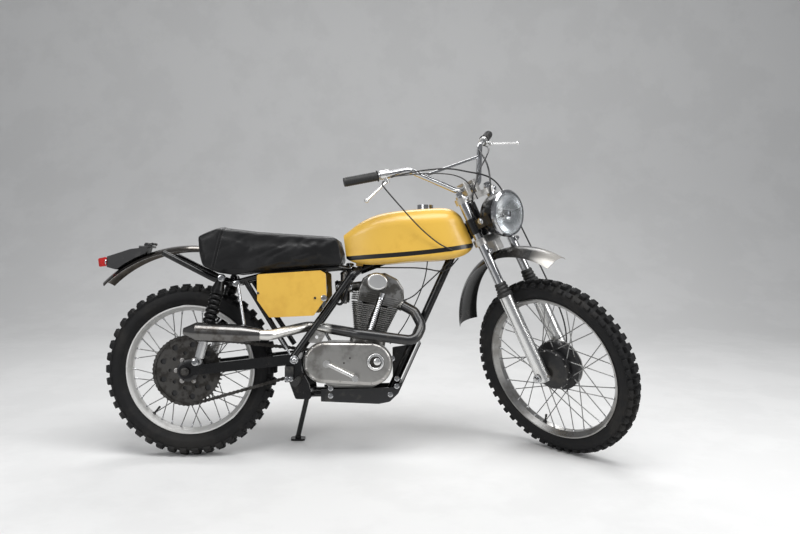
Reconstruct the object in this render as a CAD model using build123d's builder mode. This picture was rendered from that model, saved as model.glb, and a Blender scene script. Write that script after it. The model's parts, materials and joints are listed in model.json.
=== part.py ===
"""Single-cylinder scrambler motorcycle, parked on its side stand, in millimetres.

The fixed pieces are modelled upright: X forward, Y left, Z up, with the origin where the rear
tyre would touch the floor. What turns with the handlebar is modelled in the fork's own frame:
Z up the steering axis, X ahead of it, the origin level with the front axle. At the end every
piece is moved to the parked stance: leaning on the stand, steering on its right-hand stop.
"""
from build123d import *
import os
from math import acos, atan2, cos, degrees, hypot, radians, sin, sqrt

os.makedirs("parts", exist_ok=True)

# Stance and chassis
WHEELBASE = 1400.0
RAKE = 25.0
FORK_OFFSET = 55.0
LEAN = 6.3
STEER_REST = 50.0
FIT = 0.15
SEAT_GAP = 0.3

# Rear wheel
REAR_RADIUS = 325.0
REAR_WIDTH = 104.0
REAR_RIM_RADIUS = 243.5
REAR_RIM_WIDTH = 62.0
REAR_ROWS = 42
REAR_KNOB = 26.0

# Front wheel
FRONT_RADIUS = 351.0
FRONT_WIDTH = 84.0
FRONT_RIM_RADIUS = 281.5
FRONT_RIM_WIDTH = 54.0
FRONT_ROWS = 54
FRONT_KNOB = 22.0
FRONT_DRUM_RADIUS = 98.0

# Both wheels
KNOB_HEIGHT = 12.0
RIM_DEPTH = 20.0
SPOKE_RADIUS = 1.9
SPOKES_A_SIDE = 18
SPOKE_SPREAD = 4.0
SPOKE_END_GAP = 1.6
AXLE_RADIUS = 9.0

# Final drive
CHAIN_PITCH = 15.875
SPROCKET_TEETH = 50
DRIVE_TEETH = 15
CHAIN_Y = -62.0
PLATE_HEIGHT = 14.0
PLATE_THICKNESS = 3.0
PLATE_GAP = 2.0
SPROCKET_THICKNESS = 6.0
DRIVE_X = 462.0
DRIVE_Z = 366.0

# Fork, in the fork's frame
LEG_Y = 82.0
TUBE_RADIUS = 17.5
SLIDER_RADIUS = 26.0
SLIDER_LOW = -24.0
SLIDER_TOP = 325.0
TUBE_TOP = 733.0
HEAD_LOW = 566.0
HEAD_TOP = 700.0
HEAD_RADIUS = 27.0
HEAD_BORE = 19.0
STEM_RADIUS = 14.0
CLAMP_HEIGHT = 26.0
CLAMP_WALL = 9.0
CLAMP_WEB = 13.0
CLAMP_GAP = 5.0

# Handlebar, in the fork's frame
BAR_RADIUS = 11.0
BAR_END = Vector(-116, 418, 951)
BAR_SHOULDER = Vector(-5, 208, 900)
BAR_SEAT = Vector(37, 62, 757)
BAR_BEND = 50.0
GRIP_RADIUS = 16.5
GRIP_LENGTH = 128.0
BRACE_RADIUS = 6.0
BRACE_SHARE = 0.29
RISER_Y = 26.0

# Headlamp, in the fork's frame
LAMP_RADIUS = 88.0
LAMP_AHEAD = 156.0
LAMP_UP = 604.0
LAMP_TILT = 16.7
BOWL_DEPTH = 98.0
EAR_UP = 632.0

# Frame tubes
MAIN_TUBE = 16.0
SPINE_TUBE = 19.0
SIDE_TUBE = 12.5
RAIL_TUBE = 11.0
PIVOT_X = 394.0
PIVOT_Z = 372.0
PIVOT_Y = 116.0
RAIL_Y = 84.0
CRADLE_Y = 58.0
CRADLE_Z = 240.0
PLATE_WALL = 8.0

# Swingarm and shocks
ARM_Y = 90.0
ARM_WIDTH = 22.0
SHOCK_Y = 124.0
SHOCK_TOP = Vector(134, 0, 674)
SHOCK_LOW = Vector(52, 0, 366)
SPRING_RADIUS = 25.0
EYE_RADIUS = 14.0
EYE_WIDTH = 22.0
STUD_RADIUS = 7.0

# Engine
CYLINDER_TILT = 11.0
CRANK_X = 664.0
CRANK_Z = 345.0
CYLINDER_X = 654.0
CASE_HALF = 50.0
CASE_STEP = 80.0
COVER_REACH = 44.0
FIN_COUNT = 16
FIN_PITCH = 7.6
FIN_THICKNESS = 2.8
FIN_START = 8.0
FIN_LOW = (116.0, 108.0)
FIN_TOP = (178.0, 158.0)
BARREL_RADIUS = 50.0
BARREL_BASE = 106.0
BEVEL_Y = -66.0
BEVEL_LOW = Vector(676, BEVEL_Y, 462)
BEVEL_TOP = Vector(728, BEVEL_Y, 620)
BEVEL_RADIUS = 13.0
BEVEL_NUT = 15.0
BEVEL_RIB = 7.0

# Tank, seat and panels
TANK_HALF = 128.0
CAP_X = 889.0
CAP_Z = 930.0
CAP_RADIUS = 31.0
CAP_HEIGHT = 27.0
SEAT_HALF = 124.0
PANEL_Y = 128.0
PANEL_THICKNESS = 16.0
GUARD_RADIUS = 472.0
GUARD_HALF = 62.0
GUARD_THICKNESS = 3.0
SEAT_RELIEF = 5.0
FRONT_GUARD_RADIUS = 355.0
FRONT_GUARD_HALF = 56.0

# Side stand
STAND_PIVOT = Vector(438, 122, 250)
STAND_FOOT_X = 386.0
STAND_FOOT_Y = 189.0
STAND_TUBE = 10.0
STAND_PIN = 7.0
RUNNING = 0.08
STAND_SPLAY = 10.0

FORK_PLANE = Plane(
    origin=(
        WHEELBASE - FORK_OFFSET * cos(radians(RAKE)),
        0,
        FRONT_RADIUS - FORK_OFFSET * sin(radians(RAKE)),
    ),
    x_dir=(cos(radians(RAKE)), 0, sin(radians(RAKE))),
    z_dir=(-sin(radians(RAKE)), 0, cos(radians(RAKE))),
)
CYLINDER_PLANE = Plane(
    origin=(CYLINDER_X, 0, CRANK_Z),
    x_dir=(cos(radians(CYLINDER_TILT)), 0, -sin(radians(CYLINDER_TILT))),
    z_dir=(sin(radians(CYLINDER_TILT)), 0, cos(radians(CYLINDER_TILT))),
)


def head_point(ahead, along):
    """A point in the mid plane, given in the fork's frame, in the upright frame."""
    return FORK_PLANE.from_local_coords(Vector(ahead, 0, along))


def side_plane(y):
    """The upright XZ plane moved sideways to y; its sketches extrude towards the right."""
    return Plane(origin=(0, y, 0), x_dir=(1, 0, 0), z_dir=(0, -1, 0))


def mirrored(point):
    """The same point on the other side of the mid plane."""
    return Vector(point.X, -point.Y, point.Z)


def tube(points, bend, radius):
    """A round tube through points, each corner bent to the radius bend."""
    with BuildPart() as run:
        with BuildLine() as path:
            if len(points) > 2:
                FilletPolyline(*points, radius=bend)
            else:
                Line(*points)
        with BuildSketch(Plane(origin=path.line @ 0, z_dir=path.line % 0)):
            Circle(radius)
        sweep()
    return run.part


def rod(start, end, radius):
    """A straight round bar from start to end."""
    return tube([start, end], None, radius)


def turned(profile, centre=(0, 0, 0)):
    """A solid of revolution about a crosswise axis, from (sideways, radius) points."""
    x, y, z = centre
    with BuildPart() as body:
        with BuildSketch(Plane(origin=centre, x_dir=(0, 1, 0), z_dir=(1, 0, 0))):
            with BuildLine():
                Polyline(*profile, close=True)
            make_face()
        revolve(axis=Axis(centre, (0, 1, 0)))
    return body.part


def outline(points, bend, y, thickness):
    """A flat piece cut to a side outline, from sideways y towards the right."""
    with BuildPart() as plate:
        with BuildSketch(side_plane(y)):
            with BuildLine():
                FilletPolyline(*points, radius=bend, close=True)
            make_face()
        extrude(amount=thickness)
    return plate.part


# Tyres: a carcass in flat facets, a centre knob on every row and a shoulder knob on alternate sides


def ring_section(plane, apothem, sides):
    """A regular polygon whose flats are apothem from the middle, the first flat straight ahead."""
    corner = apothem / cos(radians(180 / sides))
    points = []
    for number in range(sides):
        angle = radians((number + 0.5) * 360 / sides)
        points.append((corner * cos(angle), corner * sin(angle)))
    with BuildSketch(plane) as section:
        with BuildLine():
            Polyline(*points, close=True)
        make_face()
    return section.sketch


def knobbly_tyre(radius, width, rim_radius, rim_width, rows, knob, centre):
    base = radius - KNOB_HEIGHT
    bead = rim_radius + SEAT_GAP
    half = width / 2 - KNOB_HEIGHT / 2
    foot = rim_width / 2 - 2
    depth = base - bead
    outer = [
        (half, bead + 0.50 * depth), (0.95 * half, bead + 0.70 * depth), (0.50 * half, base - 0.04 * depth)
    ]
    inner = [(half + 1, bead + 0.32 * depth), (foot, bead)]
    wheel = Plane(origin=centre, x_dir=(1, 0, 0), z_dir=(0, 1, 0))
    with BuildPart(wheel) as body:
        for table, mode in ((outer, Mode.ADD), (inner, Mode.SUBTRACT)):
            rings = [(-y, reach) for y, reach in table] + [(y, reach) for y, reach in reversed(table)]
            loft(
                sections=[ring_section(wheel.offset(y), reach, rows) for y, reach in rings],
                ruled=True,
                mode=mode,
            )
        with PolarLocations(base, rows):
            Box(2 * KNOB_HEIGHT, knob, 0.62 * half)
        for side, first in ((-1, 0), (1, 360 / rows)):
            with Locations((0, 0, side * half * 0.73)):
                with PolarLocations(base - 0.16 * depth, rows // 2, start_angle=first):
                    Box(2 * KNOB_HEIGHT, 1.25 * knob, half * 0.42, rotation=(0, -side * 38, 0))
    return body


def wire_rim(radius, width, centre):
    """A drop-centre rim with rolled flanges."""
    half = width / 2
    well = radius - RIM_DEPTH
    profile = [
        (-half, radius),
        (-half + 4, radius),
        (-half + 7, radius - 8),
        (half - 7, radius - 8),
        (half - 4, radius),
        (half, radius),
        (half, radius - 5),
        (half - 9, radius - 13),
        (10, well),
        (-10, well),
        (-half + 9, radius - 13),
        (-half, radius - 5),
    ]
    return turned(profile, centre)


def wire_hub(profile, flanges, rim_radius, centre):
    """A hub with its spokes: flanges is a table of (sideways, radius, crossing angle)."""
    reach = rim_radius - RIM_DEPTH - SPOKE_END_GAP
    step = 360 / SPOKES_A_SIDE
    wires = []
    for index, (y, flange, crossing) in enumerate(flanges):
        for number in range(SPOKES_A_SIDE):
            lead = 1 if number % 2 else -1
            rim_angle = radians(step * number + step / 2 * index)
            hub_angle = rim_angle + lead * radians(crossing)
            start = Vector(flange * cos(hub_angle), y + lead * SPOKE_SPREAD, flange * sin(hub_angle))
            end = Vector(reach * cos(rim_angle), 0.14 * y, reach * sin(rim_angle))
            wires.append(rod(start + Vector(*centre), end + Vector(*centre), SPOKE_RADIUS))
    hub = turned(profile, centre)
    with BuildPart() as body:
        add(hub)
        add(wires)
    return body


REAR_AXLE = Vector(0, 0, REAR_RADIUS)
REAR_CENTRE = (0, 0, REAR_RADIUS)

rear_tyre = knobbly_tyre(
    REAR_RADIUS, REAR_WIDTH, REAR_RIM_RADIUS, REAR_RIM_WIDTH, REAR_ROWS, REAR_KNOB, REAR_CENTRE
)
rear_tyre.part.label = "rear_tyre"

with BuildPart() as rear_rim:
    add(wire_rim(REAR_RIM_RADIUS, REAR_RIM_WIDTH, REAR_CENTRE))
rear_rim.part.label = "rear_rim"

AXLE_BORE = AXLE_RADIUS + FIT
rear_hub = wire_hub(
    [
        (-56, AXLE_BORE), (-56, 36), (-42, 36), (-40, 54), (-32, 54), (-28, 34),
        (-4, 34), (4, 78), (10, 82), (40, 82), (44, 60), (58, 24), (58, AXLE_BORE),
    ],
    [(-36, 50, 60), (36, 80, 40)],
    REAR_RIM_RADIUS,
    REAR_CENTRE,
)
rear_hub.part.label = "rear_hub"

# The rear sprocket, with its lightening holes, bolted to the hub's right face
PITCH_RADIUS = CHAIN_PITCH / 2 / sin(radians(180 / SPROCKET_TEETH))
DRIVE_RADIUS = CHAIN_PITCH / 2 / sin(radians(180 / DRIVE_TEETH))
tooth = []
for number in range(SPROCKET_TEETH):
    for share, rise in ((-0.25, -4.5), (-0.1, 4.5), (0.1, 4.5), (0.25, -4.5)):
        angle = radians((number + share) * 360 / SPROCKET_TEETH)
        reach = PITCH_RADIUS + rise
        tooth.append((reach * cos(angle), REAR_RADIUS + reach * sin(angle)))
with BuildPart() as rear_sprocket:
    with BuildSketch(side_plane(CHAIN_Y + SPROCKET_THICKNESS / 2)):
        with BuildLine():
            Polyline(*tooth, close=True)
        make_face()
        with Locations((0, REAR_RADIUS)):
            with PolarLocations(98, 9):
                Circle(11, mode=Mode.SUBTRACT)
            with PolarLocations(66, 9, start_angle=20):
                Circle(7, mode=Mode.SUBTRACT)
            Circle(AXLE_BORE, mode=Mode.SUBTRACT)
    extrude(amount=SPROCKET_THICKNESS)
rear_sprocket.part.label = "rear_sprocket"

# The front wheel, in the fork's frame
FRONT_CENTRE = (FORK_OFFSET, 0, 0)
front_tyre = knobbly_tyre(
    FRONT_RADIUS, FRONT_WIDTH, FRONT_RIM_RADIUS, FRONT_RIM_WIDTH, FRONT_ROWS, FRONT_KNOB, FRONT_CENTRE
)
front_tyre.part.label = "front_tyre"

with BuildPart() as front_rim:
    add(wire_rim(FRONT_RIM_RADIUS, FRONT_RIM_WIDTH, FRONT_CENTRE))
front_rim.part.label = "front_rim"

DRUM = FRONT_DRUM_RADIUS
front_hub = wire_hub(
    [
        (-50, AXLE_BORE), (-50, 26), (-34, 62), (-30, 76), (-22, 80), (-18, 72), (0, 72),
        (8, DRUM - 4), (12, DRUM), (34, DRUM), (34, DRUM - 8), (24, DRUM - 10), (24, AXLE_BORE),
    ],
    [(-26, 76, 40), (20, DRUM - 2, 40)],
    FRONT_RIM_RADIUS,
    FRONT_CENTRE,
)
front_hub.part.label = "front_hub"

# Front axle and brake plate
with BuildPart() as front_axle:
    add(turned([(-114, 0), (-114, 12), (-109, 12), (-109, AXLE_RADIUS), (109, AXLE_RADIUS),
                (109, 15), (118, 15), (118, 0)], FRONT_CENTRE))
front_axle.part.label = "front_axle"

with BuildPart() as brake_plate:
    add(turned([(36, AXLE_BORE), (36, DRUM), (41, DRUM), (45, 60), (52, 40), (55.5, 24),
                (55.5, AXLE_BORE)], FRONT_CENTRE))
brake_plate.part.label = "front_brake_plate"

# Fork legs, in the fork's frame
LEG_SIDES = (-LEG_Y, LEG_Y)
with BuildPart() as fork_tubes:
    for y in LEG_SIDES:
        with BuildSketch(Plane((FORK_OFFSET, y, SLIDER_TOP + SEAT_GAP))):
            Circle(TUBE_RADIUS)
        extrude(amount=TUBE_TOP - SLIDER_TOP - SEAT_GAP)
fork_tubes.part.label = "fork_tubes"

BOOT_BORE = TUBE_RADIUS + FIT
BOOT_LOW = SLIDER_TOP + SEAT_GAP
BOOT = [
    (BOOT_BORE, BOOT_LOW), (29, BOOT_LOW), (29, 336), (23, 341), (26, 348), (22, 354), (25, 361),
    (21, 367), (23, 373), (20, 380), (BOOT_BORE, 380),
]
with BuildPart() as fork_boots:
    for y in LEG_SIDES:
        with BuildSketch(Plane(origin=(FORK_OFFSET, y, 0), x_dir=(1, 0, 0), z_dir=(0, -1, 0))):
            with BuildLine():
                Polyline(*BOOT, close=True)
            make_face()
        revolve(axis=Axis((FORK_OFFSET, y, 0), (0, 0, 1)))
fork_boots.part.label = "fork_boots"

with BuildPart() as fork_sliders:
    for y in LEG_SIDES:
        with BuildSketch(Plane((FORK_OFFSET, y, SLIDER_LOW))):
            Circle(SLIDER_RADIUS)
        extrude(amount=SLIDER_TOP - SLIDER_LOW)
    chamfer(fork_sliders.edges().filter_by(GeomType.CIRCLE).group_by(Axis.Z)[0], 5)
    with BuildSketch(Plane(origin=(FORK_OFFSET, 150, 0), x_dir=(1, 0, 0), z_dir=(0, -1, 0))):
        Circle(AXLE_BORE)
    extrude(amount=300, mode=Mode.SUBTRACT)
fork_sliders.part.label = "fork_sliders"


def clamp_sketch(stem_boss):
    """A fork clamp's plan: bosses round both tubes and the stem, joined by a web."""
    with BuildSketch(mode=Mode.PRIVATE) as plan:
        with Locations((FORK_OFFSET, -LEG_Y), (FORK_OFFSET, LEG_Y)):
            Circle(CLAMP_WEB)
        Circle(stem_boss)
        make_hull()
        with Locations((FORK_OFFSET, -LEG_Y), (FORK_OFFSET, LEG_Y)):
            Circle(TUBE_RADIUS + CLAMP_WALL)
        with Locations((FORK_OFFSET, -LEG_Y), (FORK_OFFSET, LEG_Y)):
            Circle(TUBE_RADIUS + FIT, mode=Mode.SUBTRACT)
    return plan.sketch


LOWER_CLAMP_TOP = HEAD_LOW - CLAMP_GAP
UPPER_CLAMP_LOW = HEAD_TOP + CLAMP_GAP
plan = clamp_sketch(HEAD_BORE + 4)
with BuildPart() as lower_clamp:
    with BuildSketch(Plane((0, 0, LOWER_CLAMP_TOP - CLAMP_HEIGHT))):
        add(plan)
    extrude(amount=CLAMP_HEIGHT)
    with BuildSketch(Plane((0, 0, LOWER_CLAMP_TOP - 1))):
        Circle(STEM_RADIUS)
    extrude(amount=TUBE_TOP + 12 - LOWER_CLAMP_TOP)
    for level, height in ((LOWER_CLAMP_TOP - 1, CLAMP_GAP + 15), (HEAD_TOP - 14, 14 + CLAMP_GAP - SEAT_GAP)):
        with BuildSketch(Plane((0, 0, level))):
            Circle(HEAD_BORE - RUNNING)
        extrude(amount=height)
    with BuildSketch(Plane((0, 0, LOWER_CLAMP_TOP - 1))):
        Circle(HEAD_BORE + 6)
    extrude(amount=CLAMP_GAP + 1 - SEAT_GAP)
    with BuildSketch(Plane((30, 0, LOWER_CLAMP_TOP - CLAMP_HEIGHT + 1))):
        RectangleRounded(60, 44, 8)
    extrude(amount=-44)
    with BuildSketch(Plane((0, 0, UPPER_CLAMP_LOW + CLAMP_HEIGHT - 4 + SEAT_GAP))):
        RegularPolygon(19, 6)
    extrude(amount=12)
lower_clamp.part.label = "lower_fork_clamp"

with BuildPart() as upper_clamp:
    with BuildSketch(Plane((0, 0, UPPER_CLAMP_LOW))):
        add(plan)
        Circle(STEM_RADIUS + FIT, mode=Mode.SUBTRACT)
    extrude(amount=CLAMP_HEIGHT - 4)
    for y in (-RISER_Y, RISER_Y):
        with BuildSketch(Plane((BAR_SEAT.X, y, UPPER_CLAMP_LOW + CLAMP_HEIGHT - 5))):
            RectangleRounded(40, 24, 4)
        extrude(amount=BAR_SEAT.Z + BAR_RADIUS + 10 - UPPER_CLAMP_LOW - CLAMP_HEIGHT + 5)
    with BuildSketch(Plane(origin=(BAR_SEAT.X, 60, BAR_SEAT.Z), x_dir=(1, 0, 0), z_dir=(0, -1, 0))):
        Circle(BAR_RADIUS + FIT)
    extrude(amount=120, mode=Mode.SUBTRACT)
upper_clamp.part.label = "upper_fork_clamp"

# Handlebar with its cross brace, grips and levers
bar_run = tube(
    [mirrored(BAR_END), mirrored(BAR_SHOULDER), mirrored(BAR_SEAT), BAR_SEAT, BAR_SHOULDER, BAR_END],
    BAR_BEND,
    BAR_RADIUS,
)
brace_end = BAR_SHOULDER + (BAR_SEAT - BAR_SHOULDER) * BRACE_SHARE
brace = rod(mirrored(brace_end), brace_end, BRACE_RADIUS)
with BuildPart() as handlebar:
    add(bar_run)
    add(brace)
handlebar.part.label = "handlebar"

grip_way = (BAR_SHOULDER - BAR_END).normalized()
with BuildPart() as grips:
    for end, way in ((BAR_END, grip_way), (mirrored(BAR_END), mirrored(grip_way))):
        with BuildSketch(Plane(origin=end - way * 3, z_dir=way)):
            Circle(GRIP_RADIUS)
        extrude(amount=GRIP_LENGTH)
        with BuildSketch(Plane(origin=end - way * SEAT_GAP, z_dir=way)):
            Circle(BAR_RADIUS + FIT)
        extrude(amount=GRIP_LENGTH, mode=Mode.SUBTRACT)
grips.part.label = "handlebar_grips"

# Each lever: its side, how far its pivot stands off the bar, and the ball at its tip
PERCH_LENGTH = 34.0
LEVERS = [
    (-1, Vector(-2, 0, -26), Vector(-70, -400, 855)),
    (1, Vector(30, 0, -24), Vector(5, 420, 858)),
]


def bar_lever(side, offset, tip):
    """A hand lever in its perch, on the bar just inboard of the grip."""
    flip = (lambda point: point) if side > 0 else mirrored
    along = flip(grip_way)
    start = flip(BAR_END) + along * (GRIP_LENGTH + 4)
    middle = start + along * PERCH_LENGTH / 2
    pivot = middle + offset
    bore = rod(start - along * 5, start + along * (PERCH_LENGTH + 10), BAR_RADIUS + FIT)
    with BuildPart() as lever:
        add(rod(start, start + along * PERCH_LENGTH, BAR_RADIUS + 6))
        add(rod(middle, pivot, 7))
        add(rod(pivot, tip, 4.5))
        with Locations(tip):
            Sphere(8)
        with Locations(pivot):
            Cylinder(9, 14)
        add(bore, mode=Mode.SUBTRACT)
    return lever


with BuildPart() as levers:
    for row in LEVERS:
        add(bar_lever(*row).part)
levers.part.label = "handlebar_levers"

# Headlamp: bowl, chrome ring and lens, held by an ear from each fork tube
LAMP_PLANE = Plane(
    origin=(LAMP_AHEAD, 0, LAMP_UP),
    x_dir=(0, 1, 0),
    z_dir=(cos(radians(LAMP_TILT)), 0, -sin(radians(LAMP_TILT))),
)
BOWL = [(0, 84), (-35, 82), (-62, 72), (-82, 54), (-BOWL_DEPTH, 30), (-BOWL_DEPTH, 0), (0, 0)]
RING = [(0.3, 88), (10, 88), (16, 82), (16, 79), (0.3, 79)]
LENS = [(0.3, 78.7), (14, 78.7), (20, 60), (24, 34), (26, 0), (0.3, 0)]


def lamp_turned(profile):
    """A piece turned about the lamp's own axis, from (forward, radius) points."""
    with BuildPart() as piece:
        with BuildSketch(Plane(origin=LAMP_PLANE.origin, x_dir=LAMP_PLANE.z_dir, z_dir=(0, 1, 0))):
            with BuildLine():
                Polyline(*profile, close=True)
            make_face()
        revolve(axis=Axis(LAMP_PLANE.origin, LAMP_PLANE.z_dir))
    return piece


headlamp_bowl = lamp_turned(BOWL)
headlamp_bowl.part.label = "headlamp_bowl"
headlamp_ring = lamp_turned(RING)
headlamp_ring.part.label = "headlamp_ring"
headlamp_lens = lamp_turned(LENS)
headlamp_lens.part.label = "headlamp_lens"

EAR_REACH = 78.0
EAR_Y = 86.2
with BuildPart() as headlamp_ears:
    for side in (-1, 1):
        with BuildSketch(Plane((FORK_OFFSET, side * LEG_Y, EAR_UP - 50))):
            Circle(TUBE_RADIUS + 3.5)
            Circle(TUBE_RADIUS + FIT, mode=Mode.SUBTRACT)
        extrude(amount=60)
        with BuildSketch(Plane((FORK_OFFSET + TUBE_RADIUS + EAR_REACH / 2, side * EAR_Y, EAR_UP - 38))):
            Rectangle(EAR_REACH, 4)
        extrude(amount=36)
headlamp_ears.part.label = "headlamp_ears"

# Front mudguard, a trough swept round a circle under the lower clamp
GUARD_CENTRE = Vector(30, 0, LOWER_CLAMP_TOP - CLAMP_HEIGHT - 43 - SEAT_GAP - FRONT_GUARD_RADIUS)
GUARD_FRONT = 47.0
GUARD_REAR = 66.0


def mudguard(radius, half, lip, centre, front, rear):
    """A crowned trough about a crosswise axis, from front to rear degrees off the top."""
    start = Vector(sin(radians(front)), 0, cos(radians(front)))
    with BuildPart() as guard:
        with BuildSketch(Plane(origin=centre, x_dir=(0, 1, 0), z_dir=start.cross(Vector(0, 1, 0)))):
            with BuildLine():
                ThreePointArc((-half, -radius + lip), (0, -radius), (half, -radius + lip))
                Line((half, -radius + lip), (half - GUARD_THICKNESS, -radius + lip))
                ThreePointArc(
                    (half - GUARD_THICKNESS, -radius + lip),
                    (0, -radius + GUARD_THICKNESS),
                    (GUARD_THICKNESS - half, -radius + lip),
                )
                Line((GUARD_THICKNESS - half, -radius + lip), (-half, -radius + lip))
            make_face()
        revolve(axis=Axis(centre, (0, -1, 0)), revolution_arc=front + rear)
    return guard


front_guard = mudguard(
    FRONT_GUARD_RADIUS, FRONT_GUARD_HALF, 24, GUARD_CENTRE, GUARD_FRONT, GUARD_REAR
)
front_guard.part.label = "front_mudguard"

# Frame: head tube, spine, front down tube, diagonals to the swingarm pivot, cradle and rails
head_tube = rod(head_point(0, HEAD_LOW), head_point(0, HEAD_TOP), HEAD_RADIUS)
head_bore = rod(head_point(0, HEAD_LOW - 9), head_point(0, HEAD_TOP + 9), HEAD_BORE)
SPINE_REAR = Vector(640, 0, 708)
DOWN_KNEE = Vector(1000, 0, 780)
DOWN_FOOT = Vector(764, 0, 254)
stand_axis = Vector(0, cos(radians(STAND_SPLAY)), sin(radians(STAND_SPLAY)))
spine = rod(head_point(-12, HEAD_LOW + 54), SPINE_REAR, SPINE_TUBE)
down_tube = tube([head_point(-8, HEAD_LOW + 34), DOWN_KNEE, DOWN_FOOT], 90, MAIN_TUBE)
cradle_front = rod((DOWN_FOOT.X, -CRADLE_Y, CRADLE_Z), (DOWN_FOOT.X, CRADLE_Y, CRADLE_Z), RAIL_TUBE)
rear_cross = rod(SPINE_REAR - Vector(0, 74, 0), SPINE_REAR + Vector(0, 74, 0), SIDE_TUBE)
frame_tubes = [head_tube, spine, down_tube, cradle_front, rear_cross]
PLATE_OUTLINE = [
    (370, 392), (414, 392), (430, 368), (434, 330), (460, 284), (470, 228), (410, 228), (372, 330),
]
CRADLE_REAR = 440.0
for side in (-1, 1):
    diagonal = [
        (SPINE_REAR.X, side * 66, SPINE_REAR.Z),
        (614, side * 92, 690),
        (PIVOT_X + 8, side * PIVOT_Y, 386),
    ]
    frame_tubes.append(tube(diagonal, 30, SIDE_TUBE))
    cradle = [
        (DOWN_FOOT.X, side * CRADLE_Y, CRADLE_Z),
        (CRADLE_REAR + 30, side * CRADLE_Y, CRADLE_Z),
        (CRADLE_REAR, side * (PIVOT_Y - 1), CRADLE_Z + 1),
    ]
    frame_tubes.append(tube(cradle, 24, RAIL_TUBE))
    frame_tubes.append(outline(PLATE_OUTLINE, 10, side * PIVOT_Y + PLATE_WALL / 2, PLATE_WALL))
GUSSET = [(768, 296), (766, 412), (842, 424), (800, 300)]
frame_tubes.append(outline(GUSSET, 5, 6, 12))
pivot_pin = rod((PIVOT_X, -PIVOT_Y - 12, PIVOT_Z), (PIVOT_X, PIVOT_Y + 12, PIVOT_Z), 14)
stand_pin = rod(STAND_PIVOT - stand_axis * 8, STAND_PIVOT + stand_axis * 28, STAND_PIN)
with BuildPart() as frame:
    add(frame_tubes)
    add(pivot_pin)
    add(stand_pin)
    add(head_bore, mode=Mode.SUBTRACT)
frame.part.label = "main_frame"

# Seat rails, their stays and the shocks' upper studs
rail_tubes = [rod((170, -RAIL_Y, 652), (170, RAIL_Y, 652), RAIL_TUBE - 2)]
for side in (-1, 1):
    rail = [
        (SPINE_REAR.X - SIDE_TUBE - RAIL_TUBE / 2 - 2, side * 44, SPINE_REAR.Z),
        (560, side * RAIL_Y, 715),
        (300, side * RAIL_Y, 688.9),
        (160, side * RAIL_Y, 651),
        (96, side * 80, 670),
        (-94, side * 73.4, 766),
    ]
    rail_tubes.append(tube(rail, [24, 60, 50, 50], RAIL_TUBE))
    rail_tubes.append(rod((214, side * RAIL_Y, 665), (377, side * (PIVOT_Y - 2), 413), RAIL_TUBE - 1))
    stud = Vector(SHOCK_TOP.X, side * (SHOCK_Y + 20), SHOCK_TOP.Z)
    rail_tubes.append(rod(stud - Vector(0, side * (SHOCK_Y + 20 - RAIL_Y), 0), stud, STUD_RADIUS))
with BuildPart() as subframe:
    add(rail_tubes)
subframe.part.label = "rear_subframe"

# Swingarm, with the axle plates and the shocks' lower studs
arm_sides = []
for side in (-1, 1):
    with BuildPart() as arm:
        with BuildSketch(side_plane(side * ARM_Y + ARM_WIDTH / 2)):
            with BuildLine():
                Polyline(
                    (0, REAR_RADIUS + 20), (PIVOT_X, PIVOT_Z + 20), (PIVOT_X, PIVOT_Z - 20),
                    (0, REAR_RADIUS - 16), close=True,
                )
            make_face()
            with Locations((0, REAR_RADIUS)):
                Circle(27)
            with Locations((PIVOT_X, PIVOT_Z)):
                Circle(24)
            with Locations((SHOCK_LOW.X, SHOCK_LOW.Z)):
                Circle(15)
            with Locations((SHOCK_LOW.X, SHOCK_LOW.Z - 16)):
                Rectangle(30, 26)
        extrude(amount=ARM_WIDTH)
    arm_sides.append(arm.part)
    arm_sides.append(
        rod((SHOCK_LOW.X, side * ARM_Y, SHOCK_LOW.Z), (SHOCK_LOW.X, side * (SHOCK_Y + 20), SHOCK_LOW.Z), STUD_RADIUS)
    )
arm_cross = rod((PIVOT_X, -ARM_Y, PIVOT_Z), (PIVOT_X, ARM_Y, PIVOT_Z), 22)
pivot_bore = rod((PIVOT_X, -200, PIVOT_Z), (PIVOT_X, 200, PIVOT_Z), 14 + FIT)
axle_bore = rod((0, -200, REAR_RADIUS), (0, 200, REAR_RADIUS), AXLE_BORE)
with BuildPart() as swingarm:
    add(arm_sides)
    add(arm_cross)
    add(pivot_bore, mode=Mode.SUBTRACT)
    add(axle_bore, mode=Mode.SUBTRACT)
swingarm.part.label = "swingarm"

with BuildPart() as rear_axle:
    add(turned([(-116, 0), (-116, 14), (-105, 14), (-105, AXLE_RADIUS), (105, AXLE_RADIUS),
                (105, 14), (116, 14), (116, 0)], REAR_CENTRE))
rear_axle.part.label = "rear_axle"


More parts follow.
